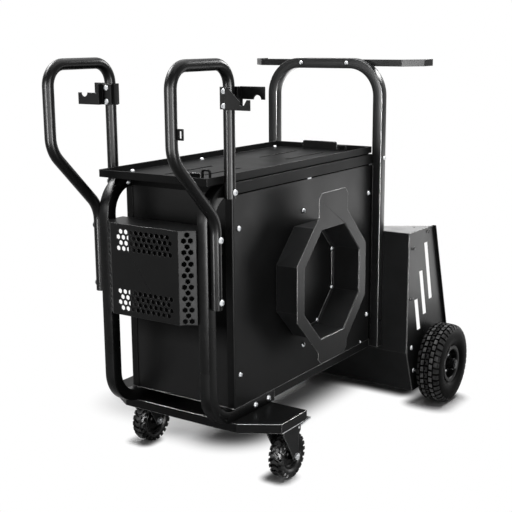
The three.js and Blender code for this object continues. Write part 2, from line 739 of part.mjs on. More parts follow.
// Rear hoop of square tube, packed out to the side panels, and the flat bar that holds gas cylinders
const hoopX = hoopInner + TUBE / 2;
const hoopTopZ = HOOP_TOP - TUBE / 2;
const hoopTube = sweep(squarePipeSection(), bentRoute([
  [-hoopX, hoopY, HOOP_FOOT], [-hoopX, hoopY, hoopTopZ, HOOP_BEND_R],
  [hoopX, hoopY, hoopTopZ, HOOP_BEND_R], [hoopX, hoopY, HOOP_FOOT],
], 6), 1);
const packingStrip = (side) => block(
  side * hoopInner - HOOP_STRIP, side * hoopInner + HOOP_STRIP,
  CABINET_DEPTH + GAP, hoopFront + TUBE_WALL / 2, panelZ, sideTop,
);
addMesh('rear_hoop', join(hoopTube, packingStrip(-1), packingStrip(1)), softBlackPaint);
const barFront = hoopFront + TUBE + GAP;
const barEnd = BAR_STRAIGHT + BAR_SPLAY;
const barTop = HOOP_TOP - BAR_DROP;
addMesh('cylinder_bar', extrudeZ(foldedSheet([
  [-barEnd, barFront + BAR_SPLAY + BAR_ARM], [-barEnd, barFront + BAR_SPLAY], [-BAR_STRAIGHT, barFront],
  [BAR_STRAIGHT, barFront], [barEnd, barFront + BAR_SPLAY], [barEnd, barFront + BAR_SPLAY + BAR_ARM],
], BAR_T), barTop - BAR_HEIGHT, barTop), softBlackPaint);

// Cylinder bay: front wall, sloping toe and floor folded from one sheet, between two side plates
const bayInner = bayHalf - SHEET - GAP;
const floorFront = wallY + BAY_KNEE_SETBACK;
const floorRear = wallY + BAY_FLOOR_DEPTH;
addMesh('bay_wall', extrudeX(foldedSheet([
  [wallY, BAY_TOP], [wallY, BAY_KNEE], [floorFront, BAY_FLOOR], [floorRear - SHEET, BAY_FLOOR],
], SHEET), -bayInner, bayInner), blackPaint);
const rearEdgeTop = wallY + BAY_TOP_DEPTH;
function vent(i) {
  const top = BAY_TOP - VENT_TOP_DROP - i * VENT_TOP_STEP;
  const bottom = BAY_TOP - VENT_BOTTOM_DROP - i * VENT_BOTTOM_STEP;
  const y = wallY + VENT_SETBACK - i * VENT_STEP;
  const shift = (top - bottom) * VENT_SLANT;
  const outline = polygon([
    [y, top], [y + shift, bottom], [y + shift + VENT_WIDTH, bottom], [y + VENT_WIDTH, top],
  ]);
  return extrudeX(outline, -bayHalf - SHEET, bayHalf + SHEET);
}
function baySide(side) {
  const plate = polygon([
    [wallY, BAY_TOP], [wallY, BAY_KNEE], [floorFront, BAY_FLOOR],
    [floorRear, BAY_FLOOR], [rearEdgeTop, BAY_TOP],
  ]);
  const flange = foldedSheet([[floorRear, BAY_FLOOR], [rearEdgeTop, BAY_TOP]], SHEET);
  const x0 = side > 0 ? bayHalf - SHEET : -bayHalf;
  const f0 = side > 0 ? bayHalf - SHEET : -bayHalf - BAY_FLANGE;
  const folded = join(extrudeX(plate, x0, x0 + SHEET), extrudeX(flange, f0, f0 + SHEET + BAY_FLANGE));
  return cut(folded, vent(0), vent(1), vent(2));
}
for (const side of [-1, 1]) {
  addMesh(`bay_side_${names[side]}`, baySide(side), softBlackPaint);
}

// Corner gussets across the top of the bay
function gusset(side) {
  const y = wallY + SHEET + GAP;
  const hole = new THREE.Path()
    .absarc(side * (bayInner - GUSSET_HOLE_INSET), y + GUSSET_DEPTH * 0.66, GUSSET_HOLE_R, 0, TAU, false);
  return extrudeZ(withHoles(polygon([
    [side * bayInner, y], [side * bayInner, y + GUSSET_DEPTH], [side * (bayInner - GUSSET_REACH), y],
  ]), [hole]), BAY_TOP - SHEET, BAY_TOP, 4);
}
for (const side of [-1, 1]) {
  addMesh(`bay_gusset_${names[side]}`, gusset(side), softBlackPaint);
}

// Tread grooves, cut in two staggered rows that leave a rib along the middle
function treadGrooves(count, radius, width, depth, reach, rib) {
  const grooves = [];
  for (let i = 0; i < count; i += 1) {
    for (const side of [-1, 1]) {
      const angle = ((i + (side > 0 ? 0.5 : 0)) / count) * TAU;
      const from = side > 0 ? rib : -reach;
      const groove = block(from, from + reach - rib, -width / 2, width / 2, radius - depth, radius + depth);
      grooves.push(groove.rotateX(angle));
    }
  }
  return mergeGeometries(grooves);
}

// Rear wheels: a solid tyre on a pressed rim, turning on a stub axle
const hubHalf = WHEEL_WIDTH / 2 - HUB_INSET;
const rimHalf = WHEEL_WIDTH / 2 - RIM_INSET;
const beadHalf = rimHalf - RIM_T;
const rimProfile = closed(mirrored([
  [SPINDLE_R + RUNNING_GAP, -hubHalf], [HUB_R, -hubHalf], [HUB_R, -WHEEL_DISC_T / 2],
  [WHEEL_BEAD_R - RIM_T, -WHEEL_DISC_T / 2], [WHEEL_BEAD_R - RIM_T, -rimHalf], [WHEEL_RIM_R, -rimHalf],
  [WHEEL_RIM_R, -beadHalf], [WHEEL_BEAD_R, -beadHalf],
]));
const tyreProfile = closed(mirrored([
  [WHEEL_BEAD_R + GAP, -beadHalf + GAP], [WHEEL_RIM_R + RIM_T, -beadHalf + GAP],
  [WHEEL_RIM_R * 1.25, -WHEEL_WIDTH * 0.475], [WHEEL_R * 0.75, -WHEEL_WIDTH / 2],
  [WHEEL_R * 0.9, -WHEEL_WIDTH * 0.47], [WHEEL_R * 0.98, -WHEEL_WIDTH * 0.36], [WHEEL_R, -WHEEL_WIDTH * 0.22],
]));
const wheelTyre = cut(
  turnX(tyreProfile, WHEEL_FACETS),
  treadGrooves(WHEEL_FACETS / 2, WHEEL_R, GROOVE_WIDTH, GROOVE_DEPTH, WHEEL_WIDTH * 0.6, WHEEL_WIDTH * 0.1),
);
const flangeX = bayHalf + GAP - wheelX;
const hubFace = hubHalf + RUNNING_GAP;
const spindle = turnX([
  [0, flangeX], [SPINDLE_FLANGE_R, flangeX], [SPINDLE_FLANGE_R, flangeX + SPINDLE_FLANGE_T],
  [HUB_R, flangeX + SPINDLE_FLANGE_T], [HUB_R, -hubFace], [SPINDLE_R, -hubFace],
  [SPINDLE_R, hubFace + AXLE_NUT_H * 1.3], [0, hubFace + AXLE_NUT_H * 1.3],
], 12);
const axleNut = new THREE.CylinderGeometry(AXLE_NUT_R, AXLE_NUT_R, AXLE_NUT_H, 6)
  .rotateZ(Math.PI / 2)
  .translate(hubFace + AXLE_NUT_H / 2, 0, 0);
const stubAxle = join(spindle, axleNut);
for (const side of [-1, 1]) {
  const name = names[side];
  const seat = (geometry) => {
    const placed = geometry.clone();
    if (side < 0) placed.rotateZ(Math.PI);
    return placed.translate(side * wheelX, wheelY, WHEEL_R);
  };
  addMesh(`rear_tyre_${name}`, seat(wheelTyre), rubber);
  addMesh(`rear_rim_${name}`, seat(turnX(rimProfile, WHEEL_FACETS)), blackPaint);
  addMesh(`stub_axle_${name}`, seat(stubAxle), zinc);
}

// Castors: a plate with raceway and kingpin, a swivelling fork and a wheel
const forkInner = CASTOR_TYRE_WIDTH / 2 + PEDAL_T;
const forkOuter = forkInner + FORK_LEG_T;
function castorPlate() {
  const rivetZ = forkTop - FORK_CROWN_T - RUNNING_GAP;
  const rivetR = KINGPIN_R * 1.8;
  const raceZ = forkTop + RUNNING_GAP;
  const race = turnZ([
    [0, rivetZ - KINGPIN_R], [rivetR, rivetZ - KINGPIN_R], [rivetR, rivetZ], [KINGPIN_R, rivetZ],
    [KINGPIN_R, raceZ], [RACE_R, raceZ], [RACE_R * 1.2, castorPlateZ], [0, castorPlateZ + SHEET],
  ], 14);
  const plate = block(
    -CASTOR_PLATE_X / 2, CASTOR_PLATE_X / 2, -CASTOR_PLATE_Y / 2, CASTOR_PLATE_Y / 2, castorPlateZ, castorTop,
  );
  return join(race, plate);
}
const pedalPivot = [CASTOR_TRAIL + PEDAL_PIN_BACK, forkTop - PEDAL_PIN_DROP];
function castorFork() {
  const leg = new THREE.Shape()
    .moveTo(-FORK_TOE, forkTop)
    .lineTo(-FORK_TOE, forkTop - PEDAL_PIN_DROP)
    .lineTo(CASTOR_TRAIL - FORK_EYE_R, CASTOR_WHEEL_R)
    .absarc(CASTOR_TRAIL, CASTOR_WHEEL_R, FORK_EYE_R, Math.PI, TAU, false)
    .lineTo(CASTOR_TRAIL + FORK_EYE_R, forkTop - FORK_EAR * 1.5)
    .lineTo(FORK_HEEL, forkTop - FORK_EAR)
    .lineTo(FORK_HEEL, forkTop);
  const axleHole = bore(CASTOR_TRAIL, CASTOR_WHEEL_R, CASTOR_AXLE_R + GAP, 4);
  const pedalHole = bore(...pedalPivot, PEDAL_PIN_R + RUNNING_GAP, 4);
  withHoles(leg, [axleHole, pedalHole]);
  const crown = new THREE.Shape()
    .moveTo(-forkOuter, FORK_HEEL)
    .lineTo(-forkOuter, 0)
    .absarc(0, 0, forkOuter, Math.PI, TAU, false)
    .lineTo(forkOuter, FORK_HEEL);
  withHoles(crown, [bore(0, 0, KINGPIN_R + RUNNING_GAP, 4)]);
  return join(
    extrudeZ(crown, forkTop - FORK_CROWN_T, forkTop, 4),
    extrudeX(leg, -forkOuter, -forkInner, 4),
    extrudeX(leg, forkInner, forkOuter, 4),
  );
}
const castorHubHalf = forkInner - RUNNING_GAP;
const castorCoreHalf = CASTOR_TYRE_WIDTH * 0.36;
const castorHub = closed(mirrored([
  [CASTOR_AXLE_R + RUNNING_GAP, -castorHubHalf], [CASTOR_BOSS_R, -castorHubHalf],
  [CASTOR_BOSS_R, -CASTOR_WEB_T / 2],
  [CASTOR_HUB_R * 0.84, -CASTOR_WEB_T / 2], [CASTOR_HUB_R * 0.84, -castorCoreHalf],
  [CASTOR_HUB_R, -castorCoreHalf],
]));
const castorTyreProfile = closed(mirrored([
  [CASTOR_HUB_R + GAP, -castorCoreHalf], [CASTOR_WHEEL_R * 0.72, -CASTOR_TYRE_WIDTH * 0.45],
  [CASTOR_WHEEL_R * 0.86, -CASTOR_TYRE_WIDTH / 2], [CASTOR_WHEEL_R * 0.96, -CASTOR_TYRE_WIDTH * 0.42],
  [CASTOR_WHEEL_R, -CASTOR_TYRE_WIDTH * 0.25],
]));
const castorTyre = cut(
  turnX(castorTyreProfile, CASTOR_FACETS),
  treadGrooves(
    CASTOR_FACETS / 2, CASTOR_WHEEL_R, GROOVE_WIDTH, GROOVE_DEPTH * 0.7,
    CASTOR_TYRE_WIDTH * 0.6, CASTOR_TYRE_WIDTH * 0.1,
  ),
);
const nutFace = forkOuter + GAP;
const castorAxle = turnX(mirrored([
  [0, -nutFace - CASTOR_NUT_H], [CASTOR_NUT_R, -nutFace - CASTOR_NUT_H], [CASTOR_NUT_R, -nutFace],
  [CASTOR_AXLE_R, -nutFace],
]), 8);
// Brake pedal: a pad behind the fork, a shoe above the tyre and a cross pin through both legs
function brakePedal() {
  const [y, z] = pedalPivot;
  const half = forkInner - RUNNING_GAP;
  const pad = extrudeX(foldedSheet([
    [y - PEDAL_PIN_R, z - PEDAL_T / 2], [y + PEDAL_LENGTH * 0.35, z - PEDAL_T / 2],
    [y + PEDAL_LENGTH, z + PEDAL_RISE - PEDAL_T / 2],
  ], PEDAL_T), -half, half);
  const shoe = block(-half * 0.6, half * 0.6, y + PEDAL_T * 2, y + PEDAL_T * 3.5, z - SHOE_DROP, z);
  const pin = turnX([
    [0, -forkOuter], [PEDAL_PIN_R, -forkOuter], [PEDAL_PIN_R, forkOuter], [0, forkOuter],
  ], 8);
  return join(pad, shoe, pin.translate(0, y, z));
}
for (const side of [-1, 1]) {
  const name = names[side];
  const swivel = (geometry) => geometry.clone().translate(side * CASTOR_X, CASTOR_Y, 0);
  const wheel = (geometry) => swivel(geometry).translate(0, CASTOR_TRAIL, CASTOR_WHEEL_R);
  addMesh(`castor_plate_${name}`, swivel(castorPlate()), zinc);
  addMesh(`castor_fork_${name}`, swivel(castorFork()), softBlackPaint);
  addMesh(`castor_axle_${name}`, wheel(castorAxle), zinc);
  addMesh(`castor_hub_${name}`, wheel(turnX(castorHub, CASTOR_FACETS)), blackPaint);
  addMesh(`castor_tyre_${name}`, wheel(castorTyre), rubber);
  addMesh(`brake_pedal_${name}`, swivel(brakePedal()), zinc);
}

// Torch hooks: folded plates bolted before and behind the rear leg of each handle.
// Each steps away from the tube beside it, and its arm has a notch to hang a torch from.
const hookTop = handleTop - HOOK_TOP_DROP;
const hookBottom = hookTop - HOOK_HEIGHT;
const hookFold = HANDLE_R + GAP;
const notchMiddle = HOOK_REACH - HOOK_NOTCH_R * 2;
function hookSheet(facing) {
  const seat = HANDLE_R + GAP;
  const run = [
    [-HANDLE_R, seat], [hookFold, seat], [hookFold, seat + HOOK_STEP], [HOOK_REACH, seat + HOOK_STEP],
  ];
  return run.map(([x, y]) => [x, HANDLE_REAR + facing * y]);
}
function wingedSheet() {
  const run = hookSheet(-1);
  const back = HANDLE_REAR - HANDLE_R / 2;
  return [[-hookFold - HOOK_WING, back], [-hookFold, back], [-hookFold, run[0][1]], ...run.slice(1)];
}
function hookPlate(side, sheet, outline) {
  const place = ([x, other]) => [side * (handleX + x), other];
  const turn = sheet[0][1] < HANDLE_REAR ? -side : side;
  const folded = extrudeZ(foldedSheet(sheet.map(place), turn * HOOK_T), hookBottom, hookTop);
  const face = extrudeY(outline, -FRAME_REACH, FRAME_REACH, 6);
  return toGeometry(toSolid(folded).intersect(toSolid(face)));
}
const offsetX = (side, offset) => side * (handleX + offset);
// Round notch in the arm, opening up or down
function roundNotchOutline(side, armAtTop) {
  const near = armAtTop ? hookTop : hookBottom;
  const far = armAtTop ? hookBottom : hookTop;
  const lip = armAtTop ? hookTop - HOOK_ARM : hookBottom + HOOK_ARM;
  const inner = -hookFold - HOOK_WING;
  const shape = new THREE.Shape()
    .moveTo(offsetX(side, inner), near)
    .lineTo(offsetX(side, inner), far)
    .lineTo(offsetX(side, hookFold + HOOK_T), far)
    .lineTo(offsetX(side, hookFold + HOOK_T), lip);
  const middle = offsetX(side, notchMiddle);
  const start = side > 0 ? Math.PI : 0;
  shape.absarc(middle, lip, HOOK_NOTCH_R, start, Math.PI - start, (side > 0) === armAtTop);
  shape.lineTo(offsetX(side, HOOK_REACH), lip);
  shape.lineTo(offsetX(side, HOOK_REACH), near);
  return shape;
}
// Angular notch with a flat floor between a sloping prong and a sloping shoulder
function angledNotchOutline(side) {
  const prongStart = HOOK_REACH - HOOK_PRONG;
  const floorEnd = prongStart - HOOK_PRONG_SLOPE;
  const floorStart = floorEnd - HOOK_FLOOR;
  return polygon([
    [-HANDLE_R, 0], [HOOK_REACH, 0], [HOOK_REACH, HOOK_PRONG_HEIGHT], [prongStart, HOOK_PRONG_HEIGHT],
    [floorEnd, HOOK_FLOOR_HEIGHT], [floorStart, HOOK_FLOOR_HEIGHT],
    [floorStart, HOOK_FLOOR_HEIGHT + HOOK_PRONG_SLOPE],
    [hookFold + HOOK_T, HOOK_HEIGHT], [-HANDLE_R, HOOK_HEIGHT],
  ].map(([x, z]) => [offsetX(side, x), hookBottom + z]));
}
addMesh('torch_hook_front_right', hookPlate(1, hookSheet(-1), angledNotchOutline(1)), softBlackPaint);
addMesh('torch_hook_front_left', hookPlate(-1, wingedSheet(), roundNotchOutline(-1, false)), softBlackPaint);
for (const side of [-1, 1]) {
  addMesh(`torch_hook_rear_${names[side]}`, hookPlate(
    side, hookSheet(1), roundNotchOutline(side, true),
  ), softBlackPaint);
}

// Bolts that hold the frame tubes to the castor beam and the handles to the frame tubes
const runBoltY = { front: RUN_BOLT_FRONT, rear: RUN_BOLT_REAR };
const handleBoltAt = {
  top: [HANDLE_REAR, trayZ - HANDLE_TOP_BOLT_DROP],
  middle: [-FRAME_REACH, trayZ - HANDLE_MID_BOLT_DROP],
  low: [-FRAME_REACH, trayZ - HANDLE_LOW_BOLT_DROP],
};
const handleFace = handleX + HANDLE_R + GAP;
for (const side of [-1, 1]) {
  for (const [place, y] of Object.entries(runBoltY)) {
    addMesh(`run_bolt_${names[side]}_${place}`, boltHead(
      [side * (cabinetHalf + GAP), y, lowRunZ], side,
    ), zinc);
  }
  for (const [place, [y, z]] of Object.entries(handleBoltAt)) {
    addMesh(`handle_bolt_${names[side]}_${place}`, boltHead([side * handleFace, y, z], side), zinc);
  }
}

// Centre the cart over the origin
const bounds = new THREE.Box3().setFromObject(cart);
cart.position.y = -(bounds.min.y + bounds.max.y) / 2;

export default cart;
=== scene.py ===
import json
import math

import bmesh
import bpy
from mathutils import Matrix, Vector

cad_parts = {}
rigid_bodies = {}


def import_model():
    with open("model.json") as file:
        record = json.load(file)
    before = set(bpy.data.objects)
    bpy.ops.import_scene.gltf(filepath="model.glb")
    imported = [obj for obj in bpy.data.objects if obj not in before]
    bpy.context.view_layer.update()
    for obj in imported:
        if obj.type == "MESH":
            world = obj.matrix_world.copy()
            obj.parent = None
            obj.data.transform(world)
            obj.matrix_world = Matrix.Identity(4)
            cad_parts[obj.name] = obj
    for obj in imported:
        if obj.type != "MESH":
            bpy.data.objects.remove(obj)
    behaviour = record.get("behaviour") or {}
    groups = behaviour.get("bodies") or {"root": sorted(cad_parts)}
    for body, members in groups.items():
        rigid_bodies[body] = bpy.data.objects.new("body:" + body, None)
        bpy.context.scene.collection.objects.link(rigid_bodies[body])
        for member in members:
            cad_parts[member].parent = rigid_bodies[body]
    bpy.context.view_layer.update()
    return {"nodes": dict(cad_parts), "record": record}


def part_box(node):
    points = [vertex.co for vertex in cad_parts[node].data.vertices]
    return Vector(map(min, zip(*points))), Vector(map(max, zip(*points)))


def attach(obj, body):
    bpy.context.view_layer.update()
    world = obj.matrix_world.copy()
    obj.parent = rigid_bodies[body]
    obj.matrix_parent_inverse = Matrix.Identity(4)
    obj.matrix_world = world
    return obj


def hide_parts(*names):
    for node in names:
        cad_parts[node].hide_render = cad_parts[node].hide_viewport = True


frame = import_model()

TAU = math.tau
MM = 0.001
SIDES = {"left": -1, "right": 1}
TREAD_TOP = "tread_top"  # the vertex mark for the tops of tread blocks, which carry a painted highlight, in part wear
nodes = frame["nodes"]
cabinet_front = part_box("side_panel_right")[0].y


def at(x, y, z):
    """A point given in millimetres, with Y counted from the front of the cabinet."""
    return Vector((x * MM, cabinet_front + y * MM, z * MM))


def middle(node):
    """The middle of a node's box, in metres."""
    low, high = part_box(node)
    return (low + high) / 2


# Camera at the photograph's angle; its focal length is a share of the picture's width
AZIMUTH, ELEVATION, ROLL = math.radians(34.16), math.radians(12.30), math.radians(-0.42)
FOCAL_SHARE = 1004.4 / 512
SENSOR_WIDTH = 36
CAMERA_PLACE = (1562.9, -1952.8, 1140.5)
ahead = Vector((
    -math.sin(AZIMUTH) * math.cos(ELEVATION),
    math.cos(AZIMUTH) * math.cos(ELEVATION),
    -math.sin(ELEVATION),
))
level = Vector((math.cos(AZIMUTH), math.sin(AZIMUTH), 0))
upright = level.cross(ahead)
right = level * math.cos(ROLL) + upright * math.sin(ROLL)
above = upright * math.cos(ROLL) - level * math.sin(ROLL)
camera_data = bpy.data.cameras.new("camera")
camera_data.sensor_width = SENSOR_WIDTH
camera_data.lens = SENSOR_WIDTH * FOCAL_SHARE
camera_data.clip_end = 100
camera = bpy.data.objects.new("camera", camera_data)
turn = Matrix((right, above, -ahead)).transposed().to_4x4()
camera.matrix_world = Matrix.Translation(at(*CAMERA_PLACE)) @ turn
bpy.context.scene.collection.objects.link(camera)
bpy.context.scene.camera = camera
bpy.context.scene.view_settings.view_transform = "Standard"


# Node materials
class Graph:
    """The node tree of a material or a world, with short calls to add and wire nodes."""

    def __init__(self, owner):
        owner.use_nodes = True
        self.owner = owner
        self.tree = owner.node_tree
        self.shader = self.tree.nodes.get("Principled BSDF")

    def add(self, kind, inputs=None, **settings):
        node = self.tree.nodes.new(kind)
        for key, value in settings.items():
            setattr(node, key, value)
        for key, value in (inputs or {}).items():
            self.put(value, node.inputs[key])
        return node

    def put(self, value, socket):
        if isinstance(value, bpy.types.NodeSocket):
            self.tree.links.new(value, socket)
        else:
            socket.default_value = value

    def wire(self, output, socket):
        self.tree.links.new(output, self.shader.inputs[socket])

    def place(self):
        return self.add("ShaderNodeTexCoord").outputs["Object"]

    def height(self):
        """The height above the floor."""
        spot = self.add("ShaderNodeNewGeometry").outputs["Position"]
        return self.add("ShaderNodeSeparateXYZ", {0: spot}).outputs["Z"]

    def noise(self, scale, detail=4.0, roughness=0.55):
        inputs = {"Vector": self.place(), "Scale": scale, "Detail": detail, "Roughness": roughness}
        return self.add("ShaderNodeTexNoise", inputs).outputs["Fac"]

    def ramp(self, value, low, high, dark, light):
        """A value between two marks turned into a range of numbers."""
        inputs = {"Value": value, "From Min": low, "From Max": high, "To Min": dark, "To Max": light}
        return self.add("ShaderNodeMapRange", inputs).outputs["Result"]

    def mix(self, factor, a, b):
        node = self.add("ShaderNodeMix", data_type="RGBA")
        for socket, value in ((node.inputs[0], factor), (node.inputs[6], a), (node.inputs[7], b)):
            self.put(value, socket)
        return node.outputs[2]

    def rounded(self, radius):
        return self.add("ShaderNodeBevel", {"Radius": radius}, samples=4).outputs["Normal"]

    def times(self, a, b):
        return self.add("ShaderNodeMath", {0: a, 1: b}, operation="MULTIPLY").outputs[0]

    def sheen_and_wear_edges(self, rounded, least):
        """The mask of a painted highlight along outer edges, in part wear of the paint: up to 1 on sharp
        outer edges, broken up by noise, and 0 on flats and in inner corners.
        """
        plain = self.add("ShaderNodeNewGeometry").outputs["Normal"]
        dot = self.add("ShaderNodeVectorMath", {0: rounded, 1: plain}, operation="DOT_PRODUCT")
        edge = self.ramp(dot.outputs["Value"], 0.995, 0.86, 0.0, 1.0)
        around = self.add("ShaderNodeAmbientOcclusion", {"Distance": 0.008}, samples=4, only_local=True)
        edge = self.times(edge, self.ramp(around.outputs["AO"], 0.75, 0.95, 0.0, 1.0))
        return self.times(edge, self.ramp(self.noise(38.0), 0.35, 0.62, least, 1.0))

    def bump(self, height, strength, distance, normal=None):
        inputs = {"Height": height, "Strength": strength, "Distance": distance}
        if normal:
            inputs["Normal"] = normal
        self.wire(self.add("ShaderNodeBump", inputs).outputs["Normal"], "Normal")


COOL = -0.02  # the faint blue cast of black paint and zinc
EDGE_RADIUS = 0.0022  # the rounding that a painted edge shows


def grey(value, warmth=0.0):
    """A grey colour, with red raised and blue lowered by a share."""
    return (value * (1 + warmth), value, value * (1 - warmth), 1)


def powder_coat(name, shade, rough, grain, gloss, sheen_and_wear=None, peel=0.05, corners=True, shaded=None):
    """Black powder coat: fine orange peel, soft cloudy sheen and, where given, outer edges painted lighter
    and half metallic, a painted highlight that is in part wear of the paint.

    Between two heights, where given, the sheen is lost, as in the shade of a piece in front.
    """
    g = Graph(bpy.data.materials.new(name))
    cloud = g.ramp(g.noise(7.0, 3.0), 0.35, 0.65, 0.0, 1.0)
    base = g.mix(cloud, grey(shade * 0.85, COOL), grey(shade * 1.15, COOL))
    rounded = g.rounded(EDGE_RADIUS) if corners else None
    # Outer edges are painted lighter and half metallic: a painted highlight, in part wear of the paint.
    if sheen_and_wear:
        edge_sheen = g.sheen_and_wear_edges(rounded, 0.85)
        base = g.mix(edge_sheen, base, grey(sheen_and_wear))
        g.wire(g.times(edge_sheen, 0.5), "Metallic")
    g.wire(base, "Base Color")
    g.wire(g.ramp(g.noise(11.0, 5.0), 0.3, 0.7, rough - 0.04, rough + 0.05), "Roughness")
    g.shader.inputs["Specular IOR Level"].default_value = gloss
    if shaded:
        low, high, fade = shaded
        below = g.ramp(g.height(), low - fade, low, gloss, 0.0)
        above = g.ramp(g.height(), high, high + fade, 0.0, gloss)
        sheen = g.add("ShaderNodeMath", {0: below, 1: above}, operation="MAXIMUM").outputs[0]
        g.wire(sheen, "Specular IOR Level")
    g.bump(g.noise(grain, 2.0), peel, 0.0004, rounded)
    return g.owner


def bright_zinc(name, shade):
    """Plated steel, a little stained."""
    g = Graph(bpy.data.materials.new(name))
    stain = g.ramp(g.noise(60.0, 4.0), 0.35, 0.7, 0.0, 1.0)
    g.wire(g.mix(stain, grey(shade, COOL), grey(shade * 0.7, COOL)), "Base Color")
    g.wire(g.ramp(g.noise(140.0, 3.0), 0.3, 0.7, 0.18, 0.36), "Roughness")
    g.shader.inputs["Metallic"].default_value = 1.0
    g.bump(g.noise(420.0, 2.0), 0.08, 0.0003)
    return g.owner


def tyre_rubber(name, top_sheen_shade, gloss):
    """Black rubber, painted grey on the tops of the tread blocks: a painted highlight, in part wear of the
    rubber.
    """
    g = Graph(bpy.data.materials.new(name))
    dust = g.ramp(g.noise(26.0, 6.0, 0.65), 0.48, 0.72, 0.0, 0.8)
    black = g.mix(dust, grey(0.003), grey(0.007, 0.04))
    top = g.add("ShaderNodeAttribute", attribute_name=TREAD_TOP).outputs["Fac"]
    # The tops of the blocks are painted grey: a painted highlight, in part wear of the rubber.
    sheen_and_wear = g.times(g.ramp(top, 0.6, 1.0, 0.0, 1.0), g.ramp(g.noise(70.0, 4.0), 0.35, 0.65, 0.35, 1.0))
    g.wire(g.mix(sheen_and_wear, black, grey(top_sheen_shade)), "Base Color")
    g.wire(g.ramp(g.noise(55.0, 4.0), 0.3, 0.7, 0.26, 0.4), "Roughness")
    g.shader.inputs["Specular IOR Level"].default_value = gloss
    g.bump(g.noise(900.0, 3.0), 0.25, 0.0005)
    return g.owner


def gloss_black(name):
    """Smooth black paint of the wheel centres."""
    g = Graph(bpy.data.materials.new(name))
    g.wire(g.mix(g.ramp(g.noise(20.0), 0.4, 0.7, 0.0, 1.0), grey(0.004), grey(0.009)), "Base Color")
    g.wire(g.ramp(g.noise(30.0, 5.0), 0.3, 0.7, 0.22, 0.34), "Roughness")
    g.shader.inputs["Specular IOR Level"].default_value = 0.07
    g.bump(g.noise(300.0, 2.0), 0.05, 0.0004)
    return g.owner


# The heights between which the guard shades the front panel, and the fade past them
BEHIND_GUARD = (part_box("guard")[0].z - 30 * MM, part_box("guard")[1].z - 45 * MM, 70 * MM)
# The edge grey of a coat, where given, is a painted highlight on its outer edges, in part wear of the paint.
COATS = {
    "sheet_paint": dict(shade=0.009, rough=0.36, grain=900.0, gloss=0.055, sheen_and_wear=0.3),
    "guard_paint": dict(shade=0.009, rough=0.36, grain=900.0, gloss=0.085, sheen_and_wear=0.05),
    "handle_paint": dict(shade=0.004, rough=0.28, grain=1100.0, gloss=0.07, peel=0.01, corners=False),
    "front_paint": dict(shade=0.009, rough=0.36, grain=900.0, gloss=0.13, shaded=BEHIND_GUARD),
    "panel_paint": dict(shade=0.009, rough=0.36, grain=900.0, gloss=0.055),
    "matt_paint": dict(shade=0.008, rough=0.46, grain=700.0, gloss=0.035, sheen_and_wear=0.015),
    # A lighter copy of the black paint: painted light on the parts that take it.
    "lit_paint": dict(shade=0.022, rough=0.4, grain=800.0, gloss=0.055, sheen_and_wear=0.3),
    # Edges painted near white: a painted highlight on the beam.
    "beam_highlit_paint": dict(shade=0.008, rough=0.34, grain=900.0, gloss=0.055, sheen_and_wear=0.9),
    "tube_paint": dict(shade=0.004, rough=0.28, grain=1100.0, gloss=0.07, peel=0.01),
    # A lighter copy of the tube paint: painted light on the hoop.
    "hoop_lit_paint": dict(shade=0.016, rough=0.3, grain=1100.0, gloss=0.08, sheen_and_wear=0.35),
}
FINISH = {name: powder_coat(name, **coat) for name, coat in COATS.items()}
FINISH.update({
    "zinc": bright_zinc("zinc", shade=0.85),
    "black_zinc": bright_zinc("black_zinc", shade=0.03),
    "tyre": tyre_rubber("tyre_rubber", top_sheen_shade=0.19, gloss=0.012),
    "castor_rubber": tyre_rubber("castor_rubber", top_sheen_shade=0.1, gloss=0.15),
    "wheel_centre": gloss_black("wheel_paint"),
})

# A CAD node takes the finish of its slot, or one of its own; the lighter copies of the black paint stand in
# for light, as painted light
slot_of = {row["node"]: row["material_slot"] for row in frame["record"]["subparts"]}
finish_of = dict(
    slot_of, top_tray="matt_paint", top_skirt="matt_paint", rear_hoop="hoop_lit_paint", spool_drum="lit_paint",
    bay_wall="lit_paint", castor_beam="beam_highlit_paint", guard="guard_paint", front_panel="front_paint",
    handle_lug="matt_paint",
)
for name in SIDES:
    finish_of[f"side_panel_{name}"] = "panel_paint"
    finish_of[f"handle_{name}"] = "handle_paint"
    finish_of[f"stub_axle_{name}"] = "black_zinc"
    finish_of[f"castor_tyre_{name}"] = "castor_rubber"
    finish_of[f"castor_fork_{name}"] = "lit_paint"
    for place in ("front", "rear"):
        finish_of[f"torch_hook_{place}_{name}"] = "guard_paint"

WELD_REACH = 1e-5
ROLLED_EDGE, GUARD_EDGE = 0.8, 0.5
ROLLED_FROM, SHARP_FROM = math.radians(24), math.radians(35)


def soften(piece, width):
    """Welds the facets of a node together and rolls its sharp edges a little."""
    weld = piece.modifiers.new("weld", "WELD")
    weld.merge_threshold = WELD_REACH
    bevel = piece.modifiers.new("edges", "BEVEL")
    bevel.width = width * MM
    bevel.segments = 2
    bevel.limit_method = "ANGLE"
    bevel.angle_limit = ROLLED_FROM
    bevel.harden_normals = True


for node, finish in finish_of.items():
    nodes[node].data.materials.clear()
    nodes[node].data.materials.append(FINISH[finish])
    soften(nodes[node], GUARD_EDGE if node == "guard" else ROLLED_EDGE)


# Mesh helpers
def make(name, body, slot, build, replaces=()):
    """One piece built by a function of a bmesh, with the finish of its slot or of the node it replaces, and
    its body.
    """
    bm = bmesh.new()
    build(bm)
    bmesh.ops.recalc_face_normals(bm, faces=bm.faces)
    mesh = bpy.data.meshes.new(name)
    bm.to_mesh(mesh)
    bm.free()
    mesh.shade_smooth()
    mesh.set_sharp_from_angle(angle=SHARP_FROM)
    mesh.materials.append(FINISH[finish_of[replaces[0]] if replaces else slot])
    piece = bpy.data.objects.new(name, mesh)
    bpy.context.scene.collection.objects.link(piece)
    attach(piece, body)
    if replaces:
        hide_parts(*replaces)


